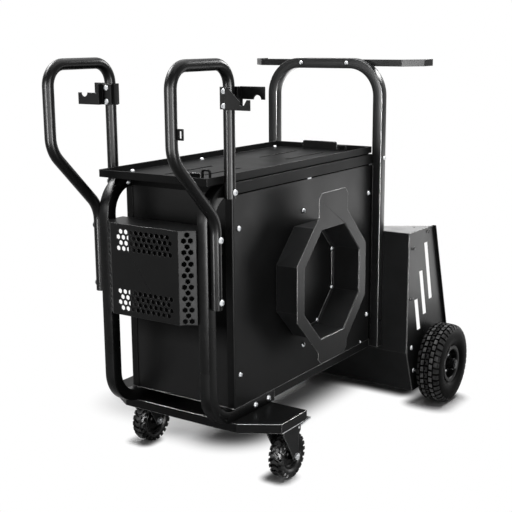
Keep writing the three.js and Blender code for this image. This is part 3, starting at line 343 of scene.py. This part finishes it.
def skin(bm, rings):
    """Faces between closed rings of points, with the last ring joined to the first."""
    rows = [[bm.verts.new(p) for p in ring] for ring in rings]
    for a, b in zip(rows, rows[1:] + rows[:1]):
        for i in range(len(a)):
            j = (i + 1) % len(a)
            bm.faces.new((a[i], a[j], b[j], b[i]))
    return rows


def around(r, x, angle):
    """A point at some radius and angle about the X axis."""
    return Vector((x, r * math.cos(angle), r * math.sin(angle)))


def spun(bm, profile, pose, count, flats=()):
    """A profile of (radius, along) points in metres, turned about the X axis of a pose.

    Radius 0 closes on the axis. Profile points whose number is in flats lie on a hexagon."""
    def radius(i, k):
        if i not in flats:
            return profile[i][0]
        share = (k / count * 6) % 1 - 0.5
        return profile[i][0] * math.cos(math.pi / 6) / math.cos(share * math.pi / 3)

    columns = []
    for i, (r, x) in enumerate(profile):
        if r == 0:
            columns.append([bm.verts.new(pose @ Vector((x, 0, 0)))])
        else:
            ring = [around(radius(i, k), x, TAU * k / count) for k in range(count)]
            columns.append([bm.verts.new(pose @ point) for point in ring])
    for a, b in zip(columns, columns[1:] + columns[:1]):
        for k in range(count):
            m = (k + 1) % count
            corners = (a[k % len(a)], a[m % len(a)], b[m % len(b)], b[k % len(b)])
            face = list(dict.fromkeys(corners))
            if len(face) > 2:
                bm.faces.new(face)


def facing(position, direction):
    """A pose at a point whose X axis runs along a direction."""
    return Matrix.Translation(position) @ Vector(direction).to_track_quat("X", "Z").to_matrix().to_4x4()


def bent_route(corners, steps):
    """Points and tangents along straight runs and round bends; a corner is (point, bend radius)."""
    stations = []
    for i, (point, radius) in enumerate(corners):
        before = (point - corners[i - 1][0]).normalized() if i else None
        after = (corners[i + 1][0] - point).normalized() if i + 1 < len(corners) else None
        if before is None or after is None:
            stations.append((point, before or after))
            continue
        angle = before.angle(after)
        start = point - before * radius * math.tan(angle / 2)
        inward = (after - before * before.dot(after)).normalized()
        for k in range(steps + 1):
            a = angle * k / steps
            stations.append((
                start + before * radius * math.sin(a) + inward * radius * (1 - math.cos(a)),
                before * math.cos(a) + inward * math.sin(a),
            ))
    return stations


def pipe(bm, stations, section, bore, normal):
    """A hollow pipe along a route in a plane; section and bore are (a, b) outlines with as many points."""
    def ring(station, outline):
        point, tangent = station
        up = normal.cross(tangent)
        return [point + normal * a + up * b for a, b in outline]

    skin(bm, [ring(s, section) for s in stations] + [ring(s, bore) for s in reversed(stations)])


def block(bm, low, high):
    pose = Matrix.Translation((low + high) / 2) @ Matrix.Diagonal(high - low).to_4x4()
    bmesh.ops.create_cube(bm, size=1, matrix=pose)


def round_outline(radius, count):
    return [(radius * math.cos(TAU * k / count), radius * math.sin(TAU * k / count)) for k in range(count)]


def square_outline(size, radius, steps=2):
    """A square with rounded corners, each turned in a few steps."""
    half = size / 2 - radius
    outline = []
    for a, b, start in ((half, -half, -0.25), (half, half, 0), (-half, half, 0.25), (-half, -half, 0.5)):
        for k in range(steps + 1):
            angle = TAU * (start + 0.25 * k / steps)
            outline.append((a + radius * math.cos(angle), b + radius * math.sin(angle)))
    return outline


# Tube frames and handles: the same routes as the solids, drawn finer
ACROSS, ALONG = Vector((1, 0, 0)), Vector((0, 1, 0))
TUBE, TUBE_WALL, TUBE_CORNER = 30, 2.5, 1
TUBE_LINE = -89  # the front tubes and the front legs of the handles
LOWER_END, UPPER_END = 182, -2.8  # where the runs of a frame tube end
GRIP_FRONT, GRIP_REAR = -245, -29
HANDLE_FOOT, KNEE_LOW, KNEE_HIGH, REAR_FOOT = -296, -79, 77, -35  # heights from the tray
FRAME_BEND, HOOP_BEND, KNEE_BEND, GRIP_BEND = 80, 96, 80, 52
HANDLE_R, HANDLE_WALL, HANDLE_SIDES = 14, 2.2, 32
tray_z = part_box("top_tray")[0].z / MM
tube_section = square_outline(TUBE * MM, TUBE_CORNER * MM)
tube_bore = square_outline((TUBE - 2 * TUBE_WALL) * MM, TUBE_CORNER / 2 * MM)
grip_section = round_outline(HANDLE_R * MM, HANDLE_SIDES)
grip_bore = round_outline((HANDLE_R - HANDLE_WALL) * MM, HANDLE_SIDES)


def tube_piece(node, rows, section, bore, normal, steps=16):
    """A pipe drawn in place of a node, along rows of (x, y, z, bend radius) in millimetres."""
    stations = bent_route([(at(x, y, z), radius * MM) for x, y, z, radius in rows], steps)

    def build(bm):
        pipe(bm, stations, section, bore, normal)

    make(f"{node}_drawn", "cart", slot_of[node], build, [node])


for name, side in SIDES.items():
    node = f"frame_tube_{name}"
    x = middle(node).x / MM
    low, high = (corner.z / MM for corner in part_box(node))
    tube_piece(node, [
        (x, LOWER_END, low + TUBE / 2, 0), (x, TUBE_LINE, low + TUBE / 2, FRAME_BEND),
        (x, TUBE_LINE, high - TUBE / 2, FRAME_BEND), (x, UPPER_END, high - TUBE / 2, 0),
    ], tube_section, tube_bore, ACROSS)
    node = f"handle_{name}"
    x = middle(node).x / MM
    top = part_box(node)[1].z / MM - HANDLE_R
    tube_piece(node, [
        (x, TUBE_LINE, tray_z + HANDLE_FOOT, 0), (x, TUBE_LINE, tray_z + KNEE_LOW, KNEE_BEND),
        (x, GRIP_FRONT, tray_z + KNEE_HIGH, KNEE_BEND), (x, GRIP_FRONT, top, GRIP_BEND),
        (x, GRIP_REAR, top, GRIP_BEND), (x, GRIP_REAR, tray_z + REAR_FOOT, 0),
    ], grip_section, grip_bore, ACROSS)

hoop_low, hoop_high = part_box("rear_hoop")
hoop_x, hoop_top = hoop_high.x / MM - TUBE / 2, hoop_high.z / MM - TUBE / 2
hoop_y = (hoop_high.y - cabinet_front) / MM - TUBE / 2
hoop_face = hoop_y - TUBE / 2
tube_piece("rear_hoop", [
    (-hoop_x, hoop_y, hoop_low.z / MM, 0), (-hoop_x, hoop_y, hoop_top, HOOP_BEND),
    (hoop_x, hoop_y, hoop_top, HOOP_BEND), (hoop_x, hoop_y, hoop_low.z / MM, 0),
], tube_section, tube_bore, ALONG)

STRIP, STRIP_BITE = 6, 1  # thickness, and how far a strip runs into the tube


def packing_strips(bm):
    """The strips that close the joint between the hoop's legs and the side panels."""
    low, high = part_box("side_panel_right")
    for side in SIDES.values():
        x = side * (hoop_x - TUBE / 2)
        y0 = (hoop_low.y - cabinet_front) / MM
        block(bm, at(x - STRIP, y0, low.z / MM), at(x + STRIP, hoop_face + STRIP_BITE, high.z / MM))


make("hoop_strips", "cart", "tube_paint", packing_strips)

# Tie loops of solid wire, drawn as a pipe with a bore too fine to show
WIRE_R, WIRE_BORE_R, WIRE_BEND, WIRE_SIDES = 3.5, 0.2, 7, 16
for node in ("tie_loop_rear", "tie_loop_front"):
    low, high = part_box(node)
    y = (middle(node).y - cabinet_front) / MM
    x0, x1 = low.x / MM + WIRE_R, high.x / MM - WIRE_R
    top = high.z / MM - WIRE_R
    tube_piece(node, [
        (x0, y, low.z / MM, 0), (x0, y, top, WIRE_BEND), (x1, y, top, WIRE_BEND), (x1, y, low.z / MM, 0),
    ], round_outline(WIRE_R * MM, WIRE_SIDES), round_outline(WIRE_BORE_R * MM, WIRE_SIDES), ALONG, 8)


# Tray: the pan and its rim, with the long slots drawn at the width that shows
SHEET = 2
SLOT_X, SLOT_WIDTH, SLOT_LENGTH, SLOT_INSET, SLOT_SETBACK = 46, 12, 203, 110, 80


def tray(bm):
    """The rim as one loop of sheet, and the floor in a grid that leaves out the slots."""
    low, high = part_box("top_tray")
    z0, z1, z2 = low.z, low.z + SHEET * MM, high.z
    frames = []
    for inset, z in ((0, z0), (0, z2), (SHEET, z2), (SHEET, z0)):
        x, y0, y1 = high.x - inset * MM, low.y + inset * MM, high.y - inset * MM
        frames.append([Vector((-x, y0, z)), Vector((x, y0, z)), Vector((x, y1, z)), Vector((-x, y1, z))])
    skin(bm, frames)
    edge = high.x - SHEET * MM
    near, far = (SLOT_X - SLOT_WIDTH / 2) * MM, (SLOT_X + SLOT_WIDTH / 2) * MM
    xs = [-edge, -far, -near, near, far, edge]
    front, rear = low.y + SLOT_INSET * MM, high.y - SLOT_SETBACK * MM
    run = SLOT_LENGTH * MM
    ys = [low.y + SHEET * MM, front, front + run, rear - run, rear, high.y - SHEET * MM]
    for i in range(5):
        for j in range(5):
            if i % 2 == 0 or j % 2 == 0:
                block(bm, Vector((xs[i], ys[j], z0)), Vector((xs[i + 1], ys[j + 1], z1)))
    bmesh.ops.remove_doubles(bm, verts=bm.verts, dist=1e-6)
    upright = [f for f in bm.faces if abs(f.normal.z) < 0.5]
    inner = [f for f in upright if all(len(e.link_faces) > 2 for e in f.edges)]
    bmesh.ops.delete(bm, geom=inner, context="FACES")


make("top_tray_drawn", "cart", "sheet_paint", tray, ["top_tray"])


# Tyres: one closed skin whose tread blocks rise from the groove floor
TOP_SHEEN, LESS_TOP_SHEEN = 1.0, 0.74  # how bright the tops of the blocks are painted, by row: a painted highlight, in part wear


def tyre(bm, pose, wall, tread, periods, gap, edge, shear, stagger):
    """wall and tread are lists from the bead and from the shoulder to the middle, for one half.

    A wall row is (radius, along). A tread row is (along, top radius, floor radius, phase), where no phase
    is a groove round the tyre and a number says where along a period the gap between two blocks lies.
    The other half is the same, turned by the stagger in periods."""
    half = [(r, x, r, None) for r, x in wall] + [(top, x, floor, phase) for x, top, floor, phase in tread]
    loop = half + [(r, -x, floor, phase) for r, x, floor, phase in reversed(half) if x > 0]
    offsets = (-gap - edge, -gap, gap, gap + edge, 0.25)
    marks = sorted({(centre + d) % 1 for centre in (0, 0.5) for d in offsets})
    rings, tops = [], []
    for i in range(periods):
        for mark in marks:
            ring, raised = [], []
            for top, x, floor, phase in loop:
                high = 0.0
                if phase is not None:
                    shifted = phase if x >= 0 else phase + stagger
                    if abs((mark - shifted + 0.5) % 1 - 0.5) > gap + edge / 2:
                        high = TOP_SHEEN if phase else LESS_TOP_SHEEN
                angle = TAU * (i + mark) / periods + shear * abs(x) / top
                ring.append(pose @ around((top if high else floor) * MM, x * MM, angle))
                raised.append(high)
            rings.append(ring)
            tops.append(raised)
    layer = bm.verts.layers.float.new(TREAD_TOP)
    for row, raised in zip(skin(bm, rings), tops):
        for vertex, high in zip(row, raised):
            vertex[layer] = high


REAR_WALL = [
    (49.5, 29.4), (60.4, 29.6), (63, 31.6), (67, 34.6), (73, 37.3), (80, 38.9), (88, 39.5), (96, 39.3),
    (103, 38.4), (107, 37.6),
]
REAR_TREAD = [
    (37.0, 111.0, 108.0, 0.0), (34.4, 117.0, 111.5, 0.0), (30.4, 121.0, 115.0, 0.0),
    (26.5, 122.6, 116.4, 0.0), (23.2, 123.5, 117.2, 0.0), (22.6, 123.6, 117.3, None),
    (19.2, 124.0, 117.7, None), (18.6, 124.1, 117.8, 0.5), (14.0, 124.5, 118.1, 0.5),
    (9.2, 124.8, 118.4, 0.5), (8.6, 124.8, 118.4, None), (5.2, 124.9, 118.5, None),
    (4.6, 124.95, 118.5, 0.0), (0.0, 125.0, 118.6, 0.0),
]
REAR_BLOCKS = dict(periods=38, gap=0.13, edge=0.03, shear=0.12, stagger=0.5)
CASTOR_WALL = [(38.6, 14.9), (40.5, 16.2), (43, 18.0), (46, 19.2), (50, 19.9)]
CASTOR_TREAD = [
    (20.4, 53.0, 49.5, 0.0), (20.3, 57.4, 50.8, 0.0), (19.0, 60.6, 52.4, 0.0), (15.4, 61.8, 54.2, 0.0),
    (12.4, 62.1, 55.0, 0.0), (12.0, 62.1, 55.1, None), (10.2, 62.2, 55.4, None), (9.8, 62.2, 55.5, 0.5),
    (6.0, 62.4, 56.0, 0.5), (1.4, 62.5, 56.2, 0.5), (0.0, 62.5, 56.2, 0.5),
]
CASTOR_BLOCKS = dict(periods=22, gap=0.17, edge=0.05, shear=0.5, stagger=0)

for name, side in SIDES.items():
    pose = facing(middle(f"rear_tyre_{name}"), (side, 0, 0))
    make(f"rear_tyre_{name}_treaded", f"wheel_{name}", "tyre",
         lambda bm: tyre(bm, pose, REAR_WALL, REAR_TREAD, **REAR_BLOCKS), [f"rear_tyre_{name}"])
    pose = facing(middle(f"castor_tyre_{name}"), (side, 0, 0))
    make(f"castor_tyre_{name}_treaded", f"castor_wheel_{name}", "tyre",
         lambda bm: tyre(bm, pose, CASTOR_WALL, CASTOR_TREAD, **CASTOR_BLOCKS), [f"castor_tyre_{name}"])


# Wheel centres and axles, turned smooth from profiles of (radius, along) in millimetres
def scaled(profile):
    return [(r * MM, x * MM) for r, x in profile]


def both_faces(half):
    return half + [(r, -x) for r, x in reversed(half)]


RIM = both_faces([
    (10.6, 36), (16, 36), (17, 35), (17, 10), (19, 7), (27, 4.5), (36, 4.2), (42, 6), (45, 10), (45.6, 29),
    (48, 32.2), (54, 33), (57.4, 32.6), (58, 31.6), (57, 30.4), (49, 29.0),
])
CASTOR_HUB = both_faces([
    (6.6, 24.4), (11, 24.4), (12, 23.4), (12, 11), (14, 8.5), (22, 7.6), (29, 8.5), (31.6, 11), (32, 14.6),
    (33.4, 15.1), (37, 15.1), (37.9, 14.4),
])
STUB_AXLE = [
    (0, -50.2), (31.2, -50.2), (32, -49.4), (32, -46.2), (31.2, -45.4), (17, -45.4), (17, -36.6),
    (10, -36.6), (10, 36.6), (18, 36.6), (18, 38.6), (16, 38.6), (16, 45.2), (14.2, 46.6), (10, 46.6),
    (10, 47.4), (9, 48.2), (0, 48.2),
]
CASTOR_AXLE = both_faces([
    (0, -35.6), (5, -35.6), (6, -35.0), (6, -34.6), (9.4, -34.6), (10, -33.8), (10, -30.6), (10, -29.0),
    (6, -29.0),
])
STUB_NUT = (11, 12, 13)  # the profile points of each axle's hexagons
CASTOR_NUTS = (5, 6, 7, 10, 11, 12)

for name, side in SIDES.items():
    pose = facing(middle(f"rear_rim_{name}"), (side, 0, 0))
    make(f"rear_rim_{name}_turned", f"wheel_{name}", "wheel_centre",
         lambda bm: spun(bm, scaled(RIM), pose, 64), [f"rear_rim_{name}"])
    make(f"stub_axle_{name}_turned", "cart", "zinc",
         lambda bm: spun(bm, scaled(STUB_AXLE), pose, 48, STUB_NUT), [f"stub_axle_{name}"])
    pose = facing(middle(f"castor_hub_{name}"), (side, 0, 0))
    make(f"castor_hub_{name}_turned", f"castor_wheel_{name}", "wheel_centre",
         lambda bm: spun(bm, scaled(CASTOR_HUB), pose, 48), [f"castor_hub_{name}"])
    make(f"castor_axle_{name}_turned", f"castor_{name}", "zinc",
         lambda bm: spun(bm, scaled(CASTOR_AXLE), pose, 36, CASTOR_NUTS), [f"castor_axle_{name}"])


# Button heads with a hexagon socket, as (radius, height)
FRAME_HEAD, PANEL_HEAD, BAY_HEAD, RIM_HEAD, TRAY_HEAD = (8.5, 5), (7.5, 5), (8, 4), (5.5, 5), (7, 6)
SMALL_HEAD, HOOK_HEAD, RUN_HEAD, EDGE_HEAD = (6.5, 4), (7.5, 4.5), (7, 4.5), (4.5, 3)
HEAD_PROFILE = [  # shares of the radius and of the height
    (0, 0), (1, 0), (1, 0.18), (0.93, 0.45), (0.76, 0.78), (0.55, 0.95), (0.42, 1), (0.40, 0.45), (0, 0.38),
]
HEAD_SOCKET = (6, 7)


def buttons(name, places, direction, head, body="cart", replaces=()):
    """Button heads of one size at some places, all facing one way, as one piece."""
    radius, height = head
    profile = scaled([(r * radius, x * height) for r, x in HEAD_PROFILE])

    def build(bm):
        for place in places:
            spun(bm, profile, facing(place, direction), 24, HEAD_SOCKET)

    make(name, body, "zinc", build, replaces)


def flank(node, side):
    """The X of a node's left or right face, in millimetres."""
    low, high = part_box(node)
    return (high.x if side > 0 else low.x) / MM


def head_place(node, side):
    """The middle of the face by which a head sits on its tube."""
    spot = middle(node)
    spot.x = flank(node, -side) * MM
    return spot


def circle(centre, x, radius, count, turned):
    """Points evenly round a circle across the X axis, turned by a share of a step."""
    angles = [TAU * (k + turned) / count for k in range(count)]
    return [Vector((x, centre.y + radius * math.cos(a), centre.z + radius * math.sin(a))) for a in angles]


# Places of fasteners and pressings in millimetres; a pair is Y from the front of the cabinet and Z
PANEL_SCREW_Y, PANEL_SCREW_Z = (25, 329, 701), (306, 682)
EDGE_SCREW = (664, 226)
BAY_FACE = 286
BAY_BOLTS = ((783, 195), (802, 117))
LANCES = ((778, 511), (773, 354), (883, 547))
LANCE_PROFILE = [(0, -11), (3, -10), (4.5, -7), (4.5, 7), (3, 10), (0, 11)]
RIM_BOLT_CIRCLE, RIM_BOLT_FACE = 37, 4.0
TRAY_SCREW_X, TRAY_SCREW_Y = (-156, 156), (12, 310, 690)
HOOP_BOLT_X, HOOP_BOLT_Z = (-79, 79), 1063
HOOP_SCREW = (742, 784)
SPOOL_BOLT_INSET = 17
HOOK_SCREW_X, HOOK_SCREW_Y, HOOK_SCREW_Z = 182.5, -46.3, (1018, 984)
RUN_SCREW = (-22, 780)
CLIP_Y, CLIP_LOW, CLIP_HIGH, CLIP_HALF, CLIP_DEPTH = (358, 712), 765, 769, 9, 1.5


def lances(bm, side):
    """Small raised bridges pressed out of the bay's side plate."""
    for y, z in LANCES:
        spun(bm, scaled(LANCE_PROFILE), facing(at(side * BAY_FACE, y, z), ALONG), 16)


def clips(bm, face):
    """Bright clips in the joint between the skirt and the side panel."""
    for y in CLIP_Y:
        low = at(face - CLIP_DEPTH, y - CLIP_HALF, CLIP_LOW)
        block(bm, low, at(face + CLIP_DEPTH, y + CLIP_HALF, CLIP_HIGH))


for name, side in SIDES.items():
    outward = (side, 0, 0)
    bolts = [n for n in sorted(nodes) if n.startswith((f"run_bolt_{name}", f"handle_bolt_{name}"))]
    places = [head_place(n, side) for n in bolts]
    buttons(f"frame_bolts_{name}", places, outward, FRAME_HEAD, replaces=bolts)
    face = flank(f"side_panel_{name}", side)
    places = [at(face, y, z) for y in PANEL_SCREW_Y for z in PANEL_SCREW_Z]
    buttons(f"panel_screws_{name}", places, outward, PANEL_HEAD)
    places = [at(side * BAY_FACE, y, z) for y, z in BAY_BOLTS]
    buttons(f"bay_bolts_{name}", places, outward, BAY_HEAD)
    rim = middle(f"rear_rim_{name}")
    for place, turned in (("outer", side), ("inner", -side)):
        places = circle(rim, rim.x + turned * RIM_BOLT_FACE * MM, RIM_BOLT_CIRCLE * MM, 4, 0.3)
        buttons(f"rim_bolts_{place}_{name}", places, (turned, 0, 0), RIM_HEAD, f"wheel_{name}")

places = [at(x, y, tray_z + SHEET) for x in TRAY_SCREW_X for y in TRAY_SCREW_Y]
buttons("tray_screws", places, (0, 0, 1), TRAY_HEAD)
buttons("hoop_bolts", [at(x, hoop_face, HOOP_BOLT_Z) for x in HOOP_BOLT_X], (0, -1, 0), SMALL_HEAD)

# The spool is an octagon, with a bolt near each corner
spool_low, spool_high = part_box("spool_drum")
spool_reach = (spool_high.z - spool_low.z) / 2 / math.cos(TAU / 16) - SPOOL_BOLT_INSET * MM
places = circle(middle("spool_drum"), spool_low.x + SHEET * MM, spool_reach, 8, 0.5)
buttons("spool_bolts", places, ACROSS, SMALL_HEAD)

for name, side in SIDES.items():
    outward = (side, 0, 0)
    make(f"bay_lances_{name}", "cart", "sheet_paint", lambda bm: lances(bm, side))
    places = [at(side * HOOK_SCREW_X, HOOK_SCREW_Y, z) for z in HOOK_SCREW_Z]
    buttons(f"hook_screws_{name}", places, (0, -1, 0), HOOK_HEAD)
    places = [at(flank(f"frame_tube_{name}", -side), *RUN_SCREW)]
    buttons(f"run_screw_{name}", places, (-side, 0, 0), RUN_HEAD)
    buttons(f"hoop_screw_{name}", [at(side * (hoop_x + TUBE / 2), *HOOP_SCREW)], outward, SMALL_HEAD)
    face = flank(f"side_panel_{name}", side)
    buttons(f"edge_screws_{name}", [at(face, *EDGE_SCREW)], outward, EDGE_HEAD)
    make(f"joint_clips_{name}", "cart", "zinc", lambda bm: clips(bm, face))

# Floor and backdrop
FLOOR_HALF = 12.0
floor_corners = [(x * FLOOR_HALF, y * FLOOR_HALF, 0) for x, y in ((-1, -1), (1, -1), (1, 1), (-1, 1))]
floor_mesh = bpy.data.meshes.new("floor")
floor_mesh.from_pydata(floor_corners, [], [(0, 1, 2, 3)])
floor = bpy.data.objects.new("floor", floor_mesh)
bpy.context.scene.collection.objects.link(floor)


def seen_white(graph):
    """1 for a ray that shows the background: from the camera, off a gloss or through glass."""
    def either(a, b):
        return graph.add("ShaderNodeMath", {0: a, 1: b}, operation="MAXIMUM").outputs[0]

    path = graph.add("ShaderNodeLightPath").outputs
    return either(either(path["Is Camera Ray"], path["Is Glossy Ray"]), path["Is Transmission Ray"])


def outside(graph, centre, half, soft):
    """0 on a rectangle of floor, rising to 1 over a soft border."""
    def vector(operation, a, b=(0, 0, 0)):
        return graph.add("ShaderNodeVectorMath", {0: a, 1: b}, operation=operation).outputs["Vector"]

    offset = vector("ABSOLUTE", vector("SUBTRACT", graph.place(), (*centre, 0)))
    beyond = vector("MAXIMUM", vector("SUBTRACT", offset, (*half, 0)))
    reach = graph.add("ShaderNodeVectorMath", {0: beyond}, operation="LENGTH").outputs["Value"]
    inputs = {"Value": reach, "From Min": 0.0, "From Max": soft}
    rise = graph.add("ShaderNodeMapRange", inputs, interpolation_type="SMOOTHSTEP").outputs["Result"]
    return graph.times(rise, rise)


# Patches of floor that keep their shade, each a centre, a half size and a soft border in metres
patches = [
    ((-0.275, 0.295), (0.175, 0.325), 0.2),
    ((-0.04, 0.58), (0.24, 0.08), 0.08),
    ((-0.15, -0.08), (0.07, 0.0), 0.2),
]
TYRE_SHADES = {"rear_tyre": ((0.03, 0.05), 0.07), "castor_tyre": ((0.012, 0.012), 0.045)}
TYRE_SHADE_SHIFT = (-0.01, -0.02)
MIRRORED = ((0, 0.03), (0.3, 0.6), 0.5)  # the floor that the gloss of the cart does not see white
for node, (half, soft) in TYRE_SHADES.items():
    for name in SIDES:
        spot = middle(f"{node}_{name}")
        patches.append(((spot.x + TYRE_SHADE_SHIFT[0], spot.y + TYRE_SHADE_SHIFT[1]), half, soft))

# The floor is a pale matt sheet in the patches and fades to the white of the background around them
g = Graph(bpy.data.materials.new("floor"))
seen = seen_white(g)
speckle = g.ramp(g.noise(3.0), 0.3, 0.7, 0.93, 0.96)
tint = g.add("ShaderNodeCombineColor", {0: speckle, 1: speckle, 2: speckle}).outputs[0]
matt = g.add("ShaderNodeBsdfDiffuse", {"Color": tint}).outputs[0]
bare = outside(g, *patches[0])
for zone in patches[1:]:
    bare = g.times(outside(g, *zone), bare)
inputs = {0: g.add("ShaderNodeLightPath").outputs["Is Camera Ray"], 2: outside(g, *MIRRORED), 3: bare}
fade = g.times(g.add("ShaderNodeMix", inputs, data_type="FLOAT").outputs[0], seen)
white = g.add("ShaderNodeEmission", {"Strength": 1.0}).outputs[0]
done = g.add("ShaderNodeMixShader", {0: fade, 1: matt, 2: white}).outputs[0]
g.tree.links.new(done, g.tree.nodes["Material Output"].inputs["Surface"])
g.tree.nodes.remove(g.shader)
floor_mesh.materials.append(g.owner)

# The world is white where it shows and dim where it lights
AMBIENT = 0.1
g = Graph(bpy.data.worlds.new("studio"))
bpy.context.scene.world = g.owner
background = g.tree.nodes["Background"].inputs
background["Color"].default_value = (1, 1, 1, 1)
g.put(g.ramp(seen_white(g), 0.0, 1.0, AMBIENT, 1.0), background["Strength"])


# Soft studio lamps, and cards that show in the gloss of paint and rubber alone
def light_group(name, finishes, state):
    """The pieces with some finishes, as those that a lamp is kept to or kept off."""
    group = bpy.data.collections.new(name)
    materials = [FINISH[finish] for finish in finishes]
    for piece in list(bpy.data.objects):
        if piece.type == "MESH" and piece.active_material in materials:
            group.objects.link(piece)
    for entry in group.collection_objects:
        entry.light_linking.link_state = state
    return group


METALS = ("zinc", "black_zinc")
FRONTS = ("front_paint", "guard_paint")
TUBES = ("tube_paint", "handle_paint", "hoop_lit_paint", "castor_rubber")
off_metal = light_group("off_metal", METALS, "EXCLUDE")
off_front = light_group("off_front", METALS + FRONTS, "EXCLUDE")
on_guard = light_group("on_guard", ("guard_paint",), "INCLUDE")
on_tubes = light_group("on_tubes", TUBES, "INCLUDE")


def softbox(name, position, target, size, radiance, card=off_metal):
    """A rectangle of light; with a light group it is a card, which shows in the gloss of that group alone."""
    data = bpy.data.lights.new(name, "AREA")
    data.shape = "RECTANGLE"
    data.size, data.size_y = size
    data.energy = math.pi * size[0] * size[1] * radiance
    lamp = bpy.data.objects.new(name, data)
    lamp.visible_camera = False
    lamp.visible_diffuse = not card
    lamp.light_linking.receiver_collection = card
    aim = Vector(target) - Vector(position)
    lamp.matrix_world = Matrix.Translation(position) @ aim.to_track_quat("-Z", "Y").to_matrix().to_4x4()
    bpy.context.scene.collection.objects.link(lamp)


softbox("overhead", (0, 0, 2.6), (0, 0.001, 0), (2.4, 2.4), 4, card=None)
softbox("camera_card", (1.85, -2.65, 0.6), (0, 0, 0.7), (1.6, 1.6), 22, off_front)
softbox("left_card", (-0.2, -3.0, 0.8), (-0.1, -0.3, 0.8), (0.8, 1.6), 95, on_tubes)
softbox("right_card", (2.45, -1.1, 0.8), (0, -0.2, 0.8), (0.9, 1.4), 80, off_front)
softbox("front_card", (-1.05, -2.0, 1.0), (0, 0.3, 1.0), (0.5, 0.5), 12)
softbox("side_card", (0.88, 1.13, 0.4), (0.25, -0.1, 0.6), (1.15, 0.6), 4.2)
softbox("wing_card", (1.3, -1.9, 0.25), (0.12, -0.53, 0.55), (0.7, 0.7), 34, on_guard)
softbox("top_card", (-1.4, -0.7, 2.4), (0, -0.2, 0.6), (1.6, 0.7), 40)
softbox("back_card", (0.7, 2.3, 2.2), (0.1, 0, 0.8), (1.0, 0.8), 40)
softbox("far_card", (-0.25, 1.1, 0.73), (0.16, 0.42, 0.56), (0.7, 0.26), 5)
